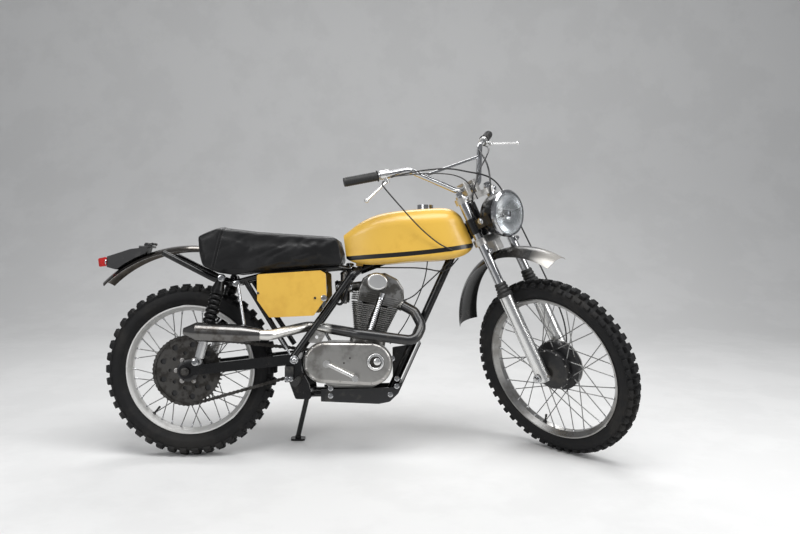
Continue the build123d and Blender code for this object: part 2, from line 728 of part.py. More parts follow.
def shock(side):
    """A coil-over shock: eyes, a ridged spring, the upper shroud and the damper's rod end."""
    low = SHOCK_LOW + Vector(0, side * SHOCK_Y, 0)
    top = SHOCK_TOP + Vector(0, side * SHOCK_Y, 0)
    length = (top - low).length
    plane = Plane(origin=low, x_dir=(0, 1, 0), z_dir=top - low)
    spring_low = length * 0.34
    spring_top = length * 0.86
    turns = 9
    pitch = (spring_top - spring_low) / turns
    profile = [(0, 14), (17, 14), (17, spring_low)]
    for turn in range(turns):
        level = spring_low + turn * pitch
        profile.append((SPRING_RADIUS - 5, level))
        profile.append((SPRING_RADIUS, level + 0.3 * pitch))
        profile.append((SPRING_RADIUS, level + 0.7 * pitch))
    profile += [(SPRING_RADIUS, spring_top), (14, length - 12), (0, length - 12)]
    with BuildPart() as damper:
        with BuildSketch(Plane(origin=low, x_dir=(0, 1, 0), z_dir=plane.x_dir.cross(plane.z_dir))):
            with BuildLine():
                Polyline(*profile, close=True)
            make_face()
        revolve(axis=Axis(low, plane.z_dir))
        for eye in (low, top):
            with BuildSketch(Plane(origin=eye + Vector(0, EYE_WIDTH / 2, 0), x_dir=(1, 0, 0), z_dir=(0, -1, 0))):
                Circle(EYE_RADIUS)
            extrude(amount=EYE_WIDTH)
        for eye in (low, top):
            with BuildSketch(Plane(origin=eye + Vector(0, 30, 0), x_dir=(1, 0, 0), z_dir=(0, -1, 0))):
                Circle(STUD_RADIUS + FIT)
            extrude(amount=60, mode=Mode.SUBTRACT)
    return damper


with BuildPart() as shocks:
    add(shock(-1).part)
    add(shock(1).part)
shocks.part.label = "rear_shocks"

# Chain: two plate bands round both sprockets, with rollers' strip along the straight runs
drive_way = Vector(DRIVE_X, 0, DRIVE_Z - REAR_RADIUS)
drive_span = drive_way.length
drive_angle = degrees(atan2(drive_way.Z, drive_way.X))
wrap = degrees(acos((PITCH_RADIUS - DRIVE_RADIUS) / drive_span))


def chain_loop(grow):
    """The outline of a belt grown beyond the pitch line, in the side plane, one straight a link."""
    with BuildSketch(mode=Mode.PRIVATE) as loop:
        with Locations((0, REAR_RADIUS)):
            RegularPolygon(PITCH_RADIUS + grow, SPROCKET_TEETH, major_radius=False)
        with Locations((DRIVE_X, DRIVE_Z)):
            RegularPolygon(DRIVE_RADIUS + grow, DRIVE_TEETH, major_radius=False)
        make_hull()
    return loop.sketch


belt_outer = chain_loop(PLATE_HEIGHT / 2)
belt_inner = chain_loop(-PLATE_HEIGHT / 2)
PLATE_INNER = SPROCKET_THICKNESS / 2 + PLATE_GAP
runs = []
for turn in (1, -1):
    angle = radians(drive_angle + turn * wrap)
    normal = Vector(cos(angle), 0, sin(angle))
    start = Vector(0, CHAIN_Y, REAR_RADIUS) + normal * PITCH_RADIUS
    end = Vector(DRIVE_X, CHAIN_Y, DRIVE_Z) + normal * DRIVE_RADIUS
    along = (end - start).normalized()
    with BuildPart() as run:
        with BuildSketch(Plane(origin=start + along * 54, x_dir=(0, 1, 0), z_dir=along)):
            Rectangle(2 * PLATE_INNER + 0.4, 9)
        extrude(amount=(end - start).length - 66)
    runs.append(run.part)
with BuildPart() as chain:
    for y in (CHAIN_Y - PLATE_INNER, CHAIN_Y + PLATE_INNER + PLATE_THICKNESS):
        with BuildSketch(side_plane(y)):
            add(belt_outer)
            add(belt_inner, mode=Mode.SUBTRACT)
        extrude(amount=PLATE_THICKNESS)
    add(runs)
chain.part.label = "drive_chain"

# Engine: crankcase, right and left covers, finned barrel, head with its cam covers
CASE = [
    (452, 404), (520, 434), (668, 434), (744, 396), (760, 352), (742, 290), (690, 262), (530, 262), (470, 318),
]
COVER_REAR = (514, 362, 77)
COVER_FRONT = (686, 358, 81)
STEP = [(530, 430), (664, 430), (726, 404), (750, 366), (738, 318), (684, 284), (618, 272), (530, 274)]
STEP_LEFT = [
    (480, 412), (664, 430), (726, 404), (750, 366), (738, 318), (684, 284), (618, 272), (500, 284),
]
bevel_way = (BEVEL_TOP - BEVEL_LOW).normalized()
with BuildPart() as crankcase:
    add(outline(CASE, 16, CASE_HALF, 2 * CASE_HALF))
    add(outline(STEP, 16, -CASE_HALF + 1, CASE_STEP - CASE_HALF + 1))
    add(outline(STEP_LEFT, 16, CASE_STEP, CASE_STEP - CASE_HALF + 1))
    add(rod(BEVEL_LOW - bevel_way * 40, BEVEL_LOW - bevel_way * SEAT_GAP, BEVEL_RADIUS + 0.6))
    with BuildSketch(CYLINDER_PLANE.offset(60)):
        RectangleRounded(136, 98, 26)
    extrude(amount=BARREL_BASE - SEAT_GAP - 60)
    add(rod((DRIVE_X, -CASE_HALF + 2, DRIVE_Z), (DRIVE_X, CHAIN_Y - 9, DRIVE_Z), DRIVE_RADIUS - PLATE_HEIGHT / 2 - SEAT_GAP))
crankcase.part.label = "crankcase"

POINTS_COVER = (705, 367)
with BuildPart() as right_cover:
    with BuildSketch(side_plane(-CASE_STEP - SEAT_GAP)):
        for x, z, reach in (COVER_REAR, COVER_FRONT):
            with Locations((x, z)):
                Circle(reach)
        make_hull()
    extrude(amount=COVER_REACH)
    fillet(right_cover.faces().sort_by(Axis.Y)[0].edges(), 16)
    with BuildSketch(side_plane(-CASE_STEP - COVER_REACH + 1)):
        with Locations(POINTS_COVER):
            Circle(41)
            Circle(34, mode=Mode.SUBTRACT)
    extrude(amount=8)
    with BuildSketch(side_plane(-CASE_STEP - COVER_REACH + 1)):
        with Locations(POINTS_COVER):
            Circle(30)
    extrude(amount=12)
    fillet(right_cover.faces().sort_by(Axis.Y)[0].edges(), 6)
right_cover.part.label = "right_engine_cover"

with BuildPart() as left_cover:
    with BuildSketch(Plane(origin=(0, CASE_STEP + SEAT_GAP, 0), x_dir=(-1, 0, 0), z_dir=(0, 1, 0))):
        with Locations((-CRANK_X, CRANK_Z)):
            Circle(78)
        with Locations((-560, 352)):
            Circle(66)
        make_hull()
    extrude(amount=36)
    fillet(left_cover.faces().sort_by(Axis.Y)[-1].edges(), 12)
left_cover.part.label = "left_engine_cover"

bevel_notch = rod(BEVEL_LOW - bevel_way * 40, BEVEL_TOP + bevel_way * 4, BEVEL_NUT + 2)
with BuildPart() as cylinder:
    with BuildSketch(CYLINDER_PLANE.offset(BARREL_BASE)):
        Circle(BARREL_RADIUS)
    extrude(amount=FIN_COUNT * FIN_PITCH + FIN_START)
    for number in range(FIN_COUNT):
        share = number / (FIN_COUNT - 1)
        wide, deep = (low + (top - low) * share for low, top in zip(FIN_LOW, FIN_TOP))
        with BuildSketch(CYLINDER_PLANE.offset(BARREL_BASE + FIN_START + number * FIN_PITCH)):
            RectangleRounded(wide, deep, 34)
        extrude(amount=FIN_THICKNESS)
    add(bevel_notch, mode=Mode.SUBTRACT)
cylinder.part.label = "cylinder_barrel"

HEAD_BASE = BARREL_BASE + FIN_COUNT * FIN_PITCH + FIN_START + SEAT_GAP
HEAD_HALF = 58.0
HEAD_FINS = 5
HEAD_PROFILE = [
    (-72, 0), (84, 0), (100, 24), (104, 44), (94, 79), (64, 110), (14, 124), (-44, 108), (-64, 88),
    (-72, 50),
]
HEAD_SIDE = Plane(
    origin=CYLINDER_PLANE.from_local_coords(Vector(0, HEAD_HALF, HEAD_BASE)),
    x_dir=CYLINDER_PLANE.x_dir,
    z_dir=(0, -1, 0),
)
bevel_socket = rod(BEVEL_TOP - bevel_way * 60, BEVEL_TOP + bevel_way, BEVEL_NUT + FIT)
ROCKER_AT = (-7, 86)
ROCKER_REACH = 24.0
PORT_END = Vector(806, -38, 572)
PORT_BEND = Vector(848, -54, 550)
port_way = (PORT_BEND - PORT_END).normalized()
port = rod(PORT_END - port_way * 50, PORT_END - port_way * SEAT_GAP, 23)
with BuildPart() as cylinder_head:
    with BuildSketch(HEAD_SIDE):
        with BuildLine():
            FilletPolyline(*HEAD_PROFILE, radius=9, close=True)
        make_face()
    extrude(amount=2 * HEAD_HALF)
    fillet(cylinder_head.faces().sort_by(Axis.Y)[0].edges(), 8)
    fillet(cylinder_head.faces().sort_by(Axis.Y)[-1].edges(), 8)
    for number in range(HEAD_FINS):
        with BuildSketch(CYLINDER_PLANE.offset(HEAD_BASE + 4 + number * FIN_PITCH)):
            RectangleRounded(186, 150, 32)
        extrude(amount=FIN_THICKNESS)
    with BuildSketch(HEAD_SIDE.offset(2 * HEAD_HALF - 1)):
        with Locations(ROCKER_AT):
            Ellipse(42, 34)
    extrude(amount=ROCKER_REACH + 1)
    fillet(cylinder_head.faces().sort_by(Axis.Y)[0].edges(), 12)
    with BuildSketch(Plane(origin=HEAD_SIDE.origin, x_dir=HEAD_SIDE.x_dir * -1, z_dir=(0, 1, 0)).offset(-1)):
        with Locations((-ROCKER_AT[0], ROCKER_AT[1])):
            Ellipse(42, 34)
    extrude(amount=ROCKER_REACH + 1)
    add(port)
    add(rod((608.4, -8, 642.5), (664, -8, 649), 17))
    add(bevel_socket, mode=Mode.SUBTRACT)
cylinder_head.part.label = "cylinder_head"

# The ribbed tube over the cam drive, with a nut at its foot
bevel_length = (BEVEL_TOP - BEVEL_LOW).length
rib_count = int((bevel_length - 40) / BEVEL_RIB)
ribs = [(0, 0), (BEVEL_NUT, 0), (BEVEL_NUT, 15), (BEVEL_RADIUS - 2, 18)]
for number in range(rib_count):
    level = 20 + number * BEVEL_RIB
    ribs += [(BEVEL_RADIUS - 2, level), (BEVEL_RADIUS, level + 2), (BEVEL_RADIUS, level + 4)]
ribs += [(BEVEL_RADIUS - 2, bevel_length - 18), (BEVEL_RADIUS, bevel_length), (0, bevel_length)]
with BuildPart() as bevel_tube:
    with BuildSketch(Plane(origin=BEVEL_LOW, x_dir=(0, 1, 0), z_dir=Vector(0, 1, 0).cross(bevel_way))):
        with BuildLine():
            Polyline(*ribs, close=True)
        make_face()
    revolve(axis=Axis(BEVEL_LOW, bevel_way))
bevel_tube.part.label = "bevel_drive_tube"

# Carburettor and air box
with BuildPart() as carburettor:
    add(rod((588, -8, 640), (608, -8, 642.5), 22))
    add(rod((548, -8, 636), (592, -8, 641), 27))
    add(rod((584, -8, 590), (584, -8, 690), 18))
carburettor.part.label = "carburettor"

with BuildPart() as air_box:
    add(
        outline(
            [(310, 688), (480, 702), (512, 640), (500, 560), (400, 545), (320, 560)],
            12,
            RAIL_Y - RAIL_TUBE - SEAT_GAP,
            2 * (RAIL_Y - RAIL_TUBE - SEAT_GAP),
        )
    )
air_box.part.label = "air_box"

# Exhaust: header from the head's right front, round and back to the silencer
HEADER_RADIUS = 19.0
SILENCER_FRONT = Vector(289, -184, 468)
SILENCER_TAIL = Vector(12, -184, 480)
silencer_way = (SILENCER_TAIL - SILENCER_FRONT).normalized()
HEADER = [
    PORT_END, PORT_BEND, (876, -78, 498), (850, -112, 444), (640, -116, 470), (536, -70, 484),
    (452, -70, 494), (372, -140, 478), SILENCER_FRONT - silencer_way * 34,
    SILENCER_FRONT - silencer_way * SEAT_GAP,
]
with BuildPart() as header_pipe:
    add(tube(HEADER, [24, 44, 42, 60, 80, 50, 60, 40], HEADER_RADIUS))
header_pipe.part.label = "exhaust_header"

with BuildPart() as silencer:
    length = (SILENCER_TAIL - SILENCER_FRONT).length
    with BuildSketch(Plane(origin=SILENCER_FRONT, x_dir=silencer_way, z_dir=(0, 1, 0))):
        with BuildLine():
            Polyline((0, 0), (0, 23), (70, 34), (length - 46, 35), (length, 12), (length, 0), close=True)
        make_face()
    revolve(axis=Axis(SILENCER_FRONT, silencer_way))
silencer.part.label = "silencer"

with BuildPart() as silencer_stay:
    add(rod((192, -112, 657), (228, -168, 504.2), 6))
    add(rod((192, -118, 657), (192, -RAIL_Y - RAIL_TUBE - SEAT_GAP, 657), 8))
silencer_stay.part.label = "silencer_stay"

# Skid plate under the engine, turned up along both sides
SKID_HALF = 74.0
SKID_WALL = 3.0
SKID_LINE = [(871, 434), (787, 246), (756, 216), (716, 208), (500, 216)]
SKID_SIDE = [(500, 215), (716, 207), (756, 215), (787, 245), (802, 282), (764, 266), (500, 258)]
with BuildPart() as skid_plate:
    with BuildSketch(side_plane(SKID_HALF)):
        with BuildLine():
            FilletPolyline(*SKID_LINE, radius=14)
            offset(amount=SKID_WALL, side=Side.LEFT)
        make_face()
    extrude(amount=2 * SKID_HALF)
    for y in (SKID_HALF, SKID_WALL - SKID_HALF):
        with BuildSketch(side_plane(y)):
            with BuildLine():
                Polyline(*SKID_SIDE, close=True)
            make_face()
        extrude(amount=SKID_WALL)
skid_plate.part.label = "skid_plate"

# Tank: a loft through sections, each given by its foot, its crown, half width and corner radii
TANK_SECTIONS = [
    ((592, 748), (580, 836), 82, 22, 14),
    ((650, 728), (640, 882), 108, 44, 20),
    ((780, 732), (766, 926), TANK_HALF, 58, 22),
    ((920, 742), (918, 940), TANK_HALF, 62, 22),
    ((1030, 762), (988, 936), 104, 52, 22),
    ((1070, 800), (1020, 914), 76, 30, 22),
]


def tank_section(foot, crown, half, crown_radius, foot_radius):
    """A rounded cross-section standing on foot and leaning to crown."""
    rise = Vector(crown[0] - foot[0], 0, crown[1] - foot[1])
    height = rise.length
    plane = Plane(origin=(foot[0], 0, foot[1]), x_dir=(0, 1, 0), z_dir=Vector(0, 1, 0).cross(rise))
    with BuildSketch(plane) as section:
        with BuildLine():
            FilletPolyline(
                (-half, 0), (half, 0), (half - 4, height), (4 - half, height),
                radius=[foot_radius, foot_radius, crown_radius, crown_radius],
                close=True,
            )
        make_face()
    return section.sketch


with BuildPart() as tank:
    loft(sections=[tank_section(*row) for row in TANK_SECTIONS])
    with BuildSketch(side_plane(SPINE_TUBE + 8)):
        with BuildLine():
            Polyline((560, 700), (1100, 700), (1100, 930), (1040, 905), (600, 775), (560, 772), close=True)
        make_face()
    extrude(amount=2 * SPINE_TUBE + 16, mode=Mode.SUBTRACT)
    with BuildSketch(Plane((CAP_X, 0, CAP_Z))):
        Circle(CAP_RADIUS + SEAT_GAP)
    extrude(amount=40, mode=Mode.SUBTRACT)
    for side in (-1, 1):
        with Locations((SPINE_REAR.X, side * 46, SPINE_REAR.Z + SIDE_TUBE + SEAT_GAP + 11)):
            Box(26, 26, 22)
        with Locations((1000, side * (SPINE_TUBE + SEAT_GAP + 5), 850)):
            Box(30, 10, 26)
tank.part.label = "fuel_tank"

with BuildPart() as tank_cap:
    with BuildSketch(Plane((CAP_X, 0, CAP_Z + SEAT_GAP))):
        Circle(CAP_RADIUS)
    extrude(amount=CAP_HEIGHT)
tank_cap.part.label = "fuel_cap"

# Seat, hollowed underneath for the rear mudguard and the rails
SEAT_SIDE = [
    (38, 828), (112, 862), (258, 846), (565, 826), (576, 790), (584, 742), (576, 728),
    (267, 697), (175, 684), (120, 692), (60, 716), (44, 770),
]
with BuildPart() as seat:
    with BuildSketch(side_plane(SEAT_HALF)):
        with BuildLine():
            FilletPolyline(*SEAT_SIDE, radius=[14, 40, 90, 10, 40, 8, 8, 60, 40, 40, 20, 40], close=True)
        make_face()
    extrude(amount=2 * SEAT_HALF)
    fillet(seat.faces().sort_by(Axis.Y)[0].edges(), 6)
    fillet(seat.faces().sort_by(Axis.Y)[-1].edges(), 6)
    with BuildSketch(side_plane(GUARD_HALF + SEAT_RELIEF)):
        with Locations((0, REAR_RADIUS)):
            Circle(GUARD_RADIUS + SEAT_RELIEF)
    extrude(amount=2 * (GUARD_HALF + SEAT_RELIEF), mode=Mode.SUBTRACT)
seat.part.label = "seat"

# Side panels, the number-plate shape in ochre
PANEL = [(268, 687), (500, 703), (520, 692), (524, 606), (477, 537), (315, 529), (270, 592)]
PEG_RADIUS = 8.0
PEGS = [(300, 682), (440, 692)]
with BuildPart() as side_panels:
    for side in (-1, 1):
        add(outline(PANEL, 9, side * PANEL_Y + (side + 1) / 2 * PANEL_THICKNESS, PANEL_THICKNESS))
        for x, z in PEGS:
            add(rod((x, side * (PANEL_Y + 1), z), (x, side * (RAIL_Y + RAIL_TUBE + SEAT_GAP), z), PEG_RADIUS))
side_panels.part.label = "side_panels"

# Rear mudguard and tail lamp
rear_guard = mudguard(GUARD_RADIUS, GUARD_HALF, 24, REAR_AXLE, 24, 45.5)
rear_guard.part.label = "rear_mudguard"

LAMP_FOOT = [
    (-165, 790), (-172, 765.5), (-212, 747.7), (-250, 726.5), (-284, 702.8), (-318, 712), (-318, 752), (-230, 781),
]
with BuildPart() as tail_lamp:
    add(outline(LAMP_FOOT, 2, 36, 72))
tail_lamp.part.label = "tail_lamp_body"
with BuildPart() as tail_lens:
    add(outline([(-318.3, 751), (-318.3, 716), (-346, 712), (-350, 744)], 5, 40, 80))
tail_lens.part.label = "tail_lamp_lens"

# Footrests, pedals and levers
with BuildPart() as footrests:
    for side in (-1, 1):
        with BuildSketch(Plane(origin=(420, side * (PIVOT_Y + PLATE_WALL / 2 + SEAT_GAP), 300), x_dir=(1, 0, 0), z_dir=(0, side, 0))):
            Circle(12)
        extrude(amount=112)
footrests.part.label = "footrests"

with BuildPart() as gear_lever:
    add(rod((526, -CASE_STEP - COVER_REACH - 1, 360), (526, -147, 360), 14))
    add(rod((526, -141, 360), (632, -147, 310), 7))
    add(rod((632, -134, 310), (632, -174, 310), 12))
gear_lever.part.label = "gear_lever"

with BuildPart() as kick_starter:
    add(rod((560, CASE_STEP + 37, 352), (560, 140, 352), 12))
    add(rod((560, 132, 352), (470, 152, 500), 7))
    add(rod((470, 146, 500), (470, 214, 500), 9))
kick_starter.part.label = "kick_starter"

with BuildPart() as brake_pedal:
    add(tube([(446, 120.5, 288), (446, 142, 288), (600, 150, 254), (640, 150, 276)], [6, 20], 6))
    add(rod((640, 138, 276), (640, 176, 276), 9))
brake_pedal.part.label = "rear_brake_pedal"

# The parked stance: both tyres on the floor, found from their lowest points
FORK = Location(FORK_PLANE)
TURN = Location((0, 0, 0), (0, 0, -STEER_REST))
tilt = Location((0, 0, 0), (-LEAN, 0, 0))
pitch = 0.0
for _ in range(3):
    stance = tilt * Location((0, 0, 0), (0, pitch, 0))
    rear_low = rear_tyre.part.moved(stance).bounding_box().min.Z
    front_low = front_tyre.part.moved(stance * FORK * TURN).bounding_box().min.Z
    pitch += degrees(atan2(front_low - rear_low, WHEELBASE))
stance = tilt * Location((0, 0, 0), (0, pitch, 0))
rear_low = rear_tyre.part.moved(stance).bounding_box().min.Z
stance = Location((0, 0, -rear_low)) * stance

# Side stand: a leg from the frame's left lug to a foot flat on the floor
upright = stance.inverse()
foot_plane = Plane(upright * Location((STAND_FOOT_X, STAND_FOOT_Y, 0)))
ankle = foot_plane.origin + foot_plane.z_dir * 14
stand_leg = rod(STAND_PIVOT + stand_axis * 14, ankle, STAND_TUBE)
stand_boss = rod(STAND_PIVOT + stand_axis * 4, STAND_PIVOT + stand_axis * 25, 15)
stand_bore = rod(STAND_PIVOT - stand_axis * 20, STAND_PIVOT + stand_axis * 60, STAND_PIN + RUNNING)
with BuildPart() as side_stand:
    add(stand_leg)
    add(stand_boss)
    with BuildSketch(foot_plane):
        RectangleRounded(56, 40, 10)
    extrude(amount=8)
    with BuildSketch(foot_plane.offset(7)):
        Circle(STAND_TUBE + 2)
    extrude(amount=10)
    add(stand_bore, mode=Mode.SUBTRACT)
side_stand.part.label = "side_stand"

# Write every piece where it stands, the whole centred over the origin
root_pieces = [
    frame, subframe, swingarm, rear_axle, shocks, chain, crankcase, right_cover, left_cover,
    cylinder, cylinder_head, bevel_tube, carburettor, air_box, header_pipe, silencer, silencer_stay,
    skid_plate, tank, tank_cap, seat, side_panels, rear_guard, tail_lamp, tail_lens,
    footrests, gear_lever, kick_starter, brake_pedal, side_stand, rear_tyre, rear_rim, rear_hub,
    rear_sprocket,
]
fork_pieces = [
    front_axle, brake_plate, fork_tubes, fork_boots, fork_sliders, lower_clamp, upper_clamp,
    handlebar, grips, levers, headlamp_bowl, headlamp_ring, headlamp_lens,
    headlamp_ears, front_guard, front_tyre, front_rim, front_hub,
]
placed = []
for piece in root_pieces:
    placed.append((piece.part.label, piece.part.moved(stance)))
for piece in fork_pieces:
    placed.append((piece.part.label, piece.part.moved(stance * FORK * TURN)))
whole = Compound(children=[Compound(part.solids()) for _, part in placed]).bounding_box()
centre = Location((-(whole.min.X + whole.max.X) / 2, -(whole.min.Y + whole.max.Y) / 2, 0))
for label, part in placed:
    settled = part.moved(centre)
    settled.label = label
    export_step(settled, f"parts/{label}.step")

parked = centre * stance
steering = parked * FORK * TURN


def report(name, location, point, way):
    """Print a point and a direction as they stand in the parked frame."""
    spot = (location * Location(Vector(*point))).position
    tip = (location * Location(Vector(*point) + Vector(*way))).position
    axis = tip - spot
    print(f"{name}: at {spot.X:.3f} {spot.Y:.3f} {spot.Z:.3f} axis {axis.X:.6f} {axis.Y:.6f} {axis.Z:.6f}")


report("steering", steering, (0, 0, 600), (0, 0, 1))
report("front wheel", steering, FRONT_CENTRE, (0, 1, 0))
report("rear wheel", parked, REAR_CENTRE, (0, 1, 0))
report("side stand", parked, STAND_PIVOT, stand_axis * -1)
report("stand foot", parked, foot_plane.origin, foot_plane.z_dir * -1)
report("brace gap", steering, (21, 0, 808), (0, 0, 1))
report("engine bay gap", parked, (865, 0, 680), (0, 0, 1))
print(f"pitch {pitch:.3f} size {whole.size.X:.1f} {whole.size.Y:.1f} {whole.size.Z:.1f}")
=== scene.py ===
import json
import math

import bmesh
import bpy
from mathutils import Matrix, Vector, noise
from mathutils.bvhtree import BVHTree


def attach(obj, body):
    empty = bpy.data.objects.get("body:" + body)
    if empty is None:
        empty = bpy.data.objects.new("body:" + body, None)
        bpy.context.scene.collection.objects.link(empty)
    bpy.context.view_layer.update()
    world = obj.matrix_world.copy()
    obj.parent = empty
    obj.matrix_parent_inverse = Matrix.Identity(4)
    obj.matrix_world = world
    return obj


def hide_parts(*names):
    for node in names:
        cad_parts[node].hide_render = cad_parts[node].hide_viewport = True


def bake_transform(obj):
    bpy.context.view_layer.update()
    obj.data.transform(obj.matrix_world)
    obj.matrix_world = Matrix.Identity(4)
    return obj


# %% [markdown]
# A single-cylinder trail motorcycle, parked on its side stand with the front wheel turned right.
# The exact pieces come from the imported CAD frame. This lesson gives them their surfaces and adds
# the soft and small pieces round them: cushion, cables, nipples, bolts, stitching and trim.

# %% Load the frame
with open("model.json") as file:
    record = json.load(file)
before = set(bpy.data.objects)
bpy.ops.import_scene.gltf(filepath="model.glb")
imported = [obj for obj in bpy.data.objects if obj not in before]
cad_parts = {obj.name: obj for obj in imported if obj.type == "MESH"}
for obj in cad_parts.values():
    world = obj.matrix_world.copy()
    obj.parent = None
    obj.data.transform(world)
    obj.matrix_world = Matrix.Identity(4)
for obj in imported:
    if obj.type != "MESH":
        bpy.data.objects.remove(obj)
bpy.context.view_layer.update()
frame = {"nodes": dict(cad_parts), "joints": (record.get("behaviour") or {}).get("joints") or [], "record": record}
nodes = frame["nodes"]
joints = {joint["name"]: joint for joint in frame["joints"]}

# %% [markdown]
# Two drawing frames, both in millimetres. BIKE has x ahead, y to the left and z up, with its
# origin under the rear axle. FORK turns with the handlebar: x ahead of the steering axis, y along
# the front axle and z up the axis. Both are worked out from the joints.

# %% Drawing frames
RAKE = math.radians(25)
REAR_RADIUS = 0.325
FORK_OFFSET = 0.055


def spot(name):
    return Vector(joints[name]["pos_m"])


def way(name):
    return Vector(joints[name]["axis"]).normalized()


def frame_matrix(ahead, side, up, origin):
    """Millimetres along three directions to metres in the row frame."""
    matrix = Matrix((ahead, side, up)).transposed().to_4x4() @ Matrix.Scale(0.001, 4)
    matrix.translation = origin
    return matrix


def add_object(name, data):
    """A new object in the scene."""
    obj = bpy.data.objects.new(name, data)
    bpy.context.scene.collection.objects.link(obj)
    return obj


side = way("rear_wheel_spin")
column = way("steering")
across = side.cross(column).normalized()
forward = across * math.cos(RAKE) - column * math.sin(RAKE)
upward = across * math.sin(RAKE) + column * math.cos(RAKE)
rear_centre = spot("rear_wheel_spin")
ground = rear_centre - upward * REAR_RADIUS
BIKE = frame_matrix(forward, side, upward, ground)
wheel_side = way("front_wheel_spin")
fork_ahead = wheel_side.cross(column).normalized()
front_centre = spot("front_wheel_spin")
FORK = frame_matrix(fork_ahead, wheel_side, column, front_centre - fork_ahead * FORK_OFFSET)
print("rear axle", [round(v, 3) for v in rear_centre])
print("front axle", [round(v, 3) for v in front_centre])

# %% [markdown]
# The camera stands where the photographer stood: three metres to the motorcycle's right, a metre
# up, looking slightly down.

# %% Camera
FOCAL = 37.33
camera_data = bpy.data.cameras.new("camera")
camera_data.lens = FOCAL
camera_data.sensor_width = 36.0
camera = add_object("camera", camera_data)
camera.matrix_world = (
    Matrix.Translation(rear_centre + Vector((0.775663, -3.128655, 0.695304)))
    @ Matrix.Rotation(math.radians(-0.34), 4, "Z")
    @ Matrix.Rotation(math.radians(90 - 5.51), 4, "X")
    @ Matrix.Rotation(math.radians(0.20), 4, "Z")
)
bpy.context.scene.camera = camera
print("camera at", [round(v, 3) for v in camera.matrix_world.translation])

# %% [markdown]
# A material is a small node graph. Two noises share the object's coordinates: a broad one mixes the
# clean colour with the worn one, and a fine one varies the roughness and raises a faint grain.

# %% Surface maker
VIEW = "Standard"
bpy.context.scene.view_settings.view_transform = VIEW


class Graph:
    """A material's nodes, with short calls to add and join them."""

    def __init__(self, name):
        self.material = bpy.data.materials.new(name)
        self.material.use_nodes = True
        self.tree = self.material.node_tree
        self.shader = self.tree.nodes["Principled BSDF"]
        self.point = self.add("ShaderNodeTexCoord").outputs["Object"]

    def add(self, kind, inputs=(), **values):
        """A node with its settings. Its inputs are filled from values or from other nodes' sockets."""
        node = self.tree.nodes.new(kind)
        for key, value in values.items():
            setattr(node, key, value)
        for key, value in dict(inputs).items():
            self.fill(node.inputs[key], value)
        return node

    def join(self, a, b):
        self.tree.links.new(a, b)

    def fill(self, socket, value):
        if isinstance(value, bpy.types.NodeSocket):
            self.join(value, socket)
        else:
            socket.default_value = value

    def noise(self, scale, detail, rough):
        inputs = {"Vector": self.point, "Scale": scale, "Detail": detail, "Roughness": rough}
        return self.add("ShaderNodeTexNoise", inputs).outputs["Fac"]

    def span(self, value, low, high, out_low=0.0, out_high=1.0, **how):
        inputs = {"Value": value, "From Min": low, "From Max": high, "To Min": out_low, "To Max": out_high}
        return self.add("ShaderNodeMapRange", inputs, **how).outputs["Result"]

    def maths(self, kind, *values):
        return self.add("ShaderNodeMath", enumerate(values), operation=kind).outputs[0]

    def vectors(self, kind, *values):
        return self.add("ShaderNodeVectorMath", enumerate(values), operation=kind).outputs

    def mix(self, factor, a, b):
        a, b = (end if isinstance(end, bpy.types.NodeSocket) else (*end, 1) for end in (a, b))
        return self.add("ShaderNodeMix", {"Factor": factor, "A": a, "B": b}, data_type="RGBA").outputs["Result"]

    def along(self, direction, origin):
        """Distance in millimetres from origin along a direction of the row frame."""
        shift = self.vectors("SUBTRACT", self.point, origin)[0]
        return self.vectors("DOT_PRODUCT", shift, direction * 1000)["Value"]

    def bump(self, height, strength, distance):
        node = self.add("ShaderNodeBump", {"Strength": strength, "Distance": distance, "Height": height})
        self.join(node.outputs["Normal"], self.shader.inputs["Normal"])



def surface(name, clean, worn, share, patch, metal, gloss, dull, grain=400.0, bump=0.1, coat=0.0):
    """A worn surface: clean and worn colours, the worn share, the patches per metre, then the shine."""
    graph = Graph(name)
    broad = graph.noise(patch, 6.0, 0.65)
    fine = graph.noise(grain, 3.0, 0.6)
    edge = 0.68 - 0.36 * share
    mask = graph.span(broad, edge - 0.07, edge + 0.07, interpolation_type="SMOOTHSTEP")
    graph.join(graph.mix(mask, clean, worn), graph.shader.inputs["Base Color"])
    shine = graph.maths("MULTIPLY_ADD", broad, (dull - gloss) * 0.9, gloss)
    shine = graph.maths("MULTIPLY_ADD", fine, (dull - gloss) * 0.5, shine)
    graph.join(shine, graph.shader.inputs["Roughness"])
    graph.bump(fine, bump, 0.0006)
    for socket, value in (("Metallic", metal), ("Coat Weight", coat), ("Coat Roughness", 0.06)):
        graph.shader.inputs[socket].default_value = value
    return graph


# %% Surfaces by slot
OCHRE = (0.66, 0.405, 0.062)
OCHRE_WORN = (0.60, 0.352, 0.05)
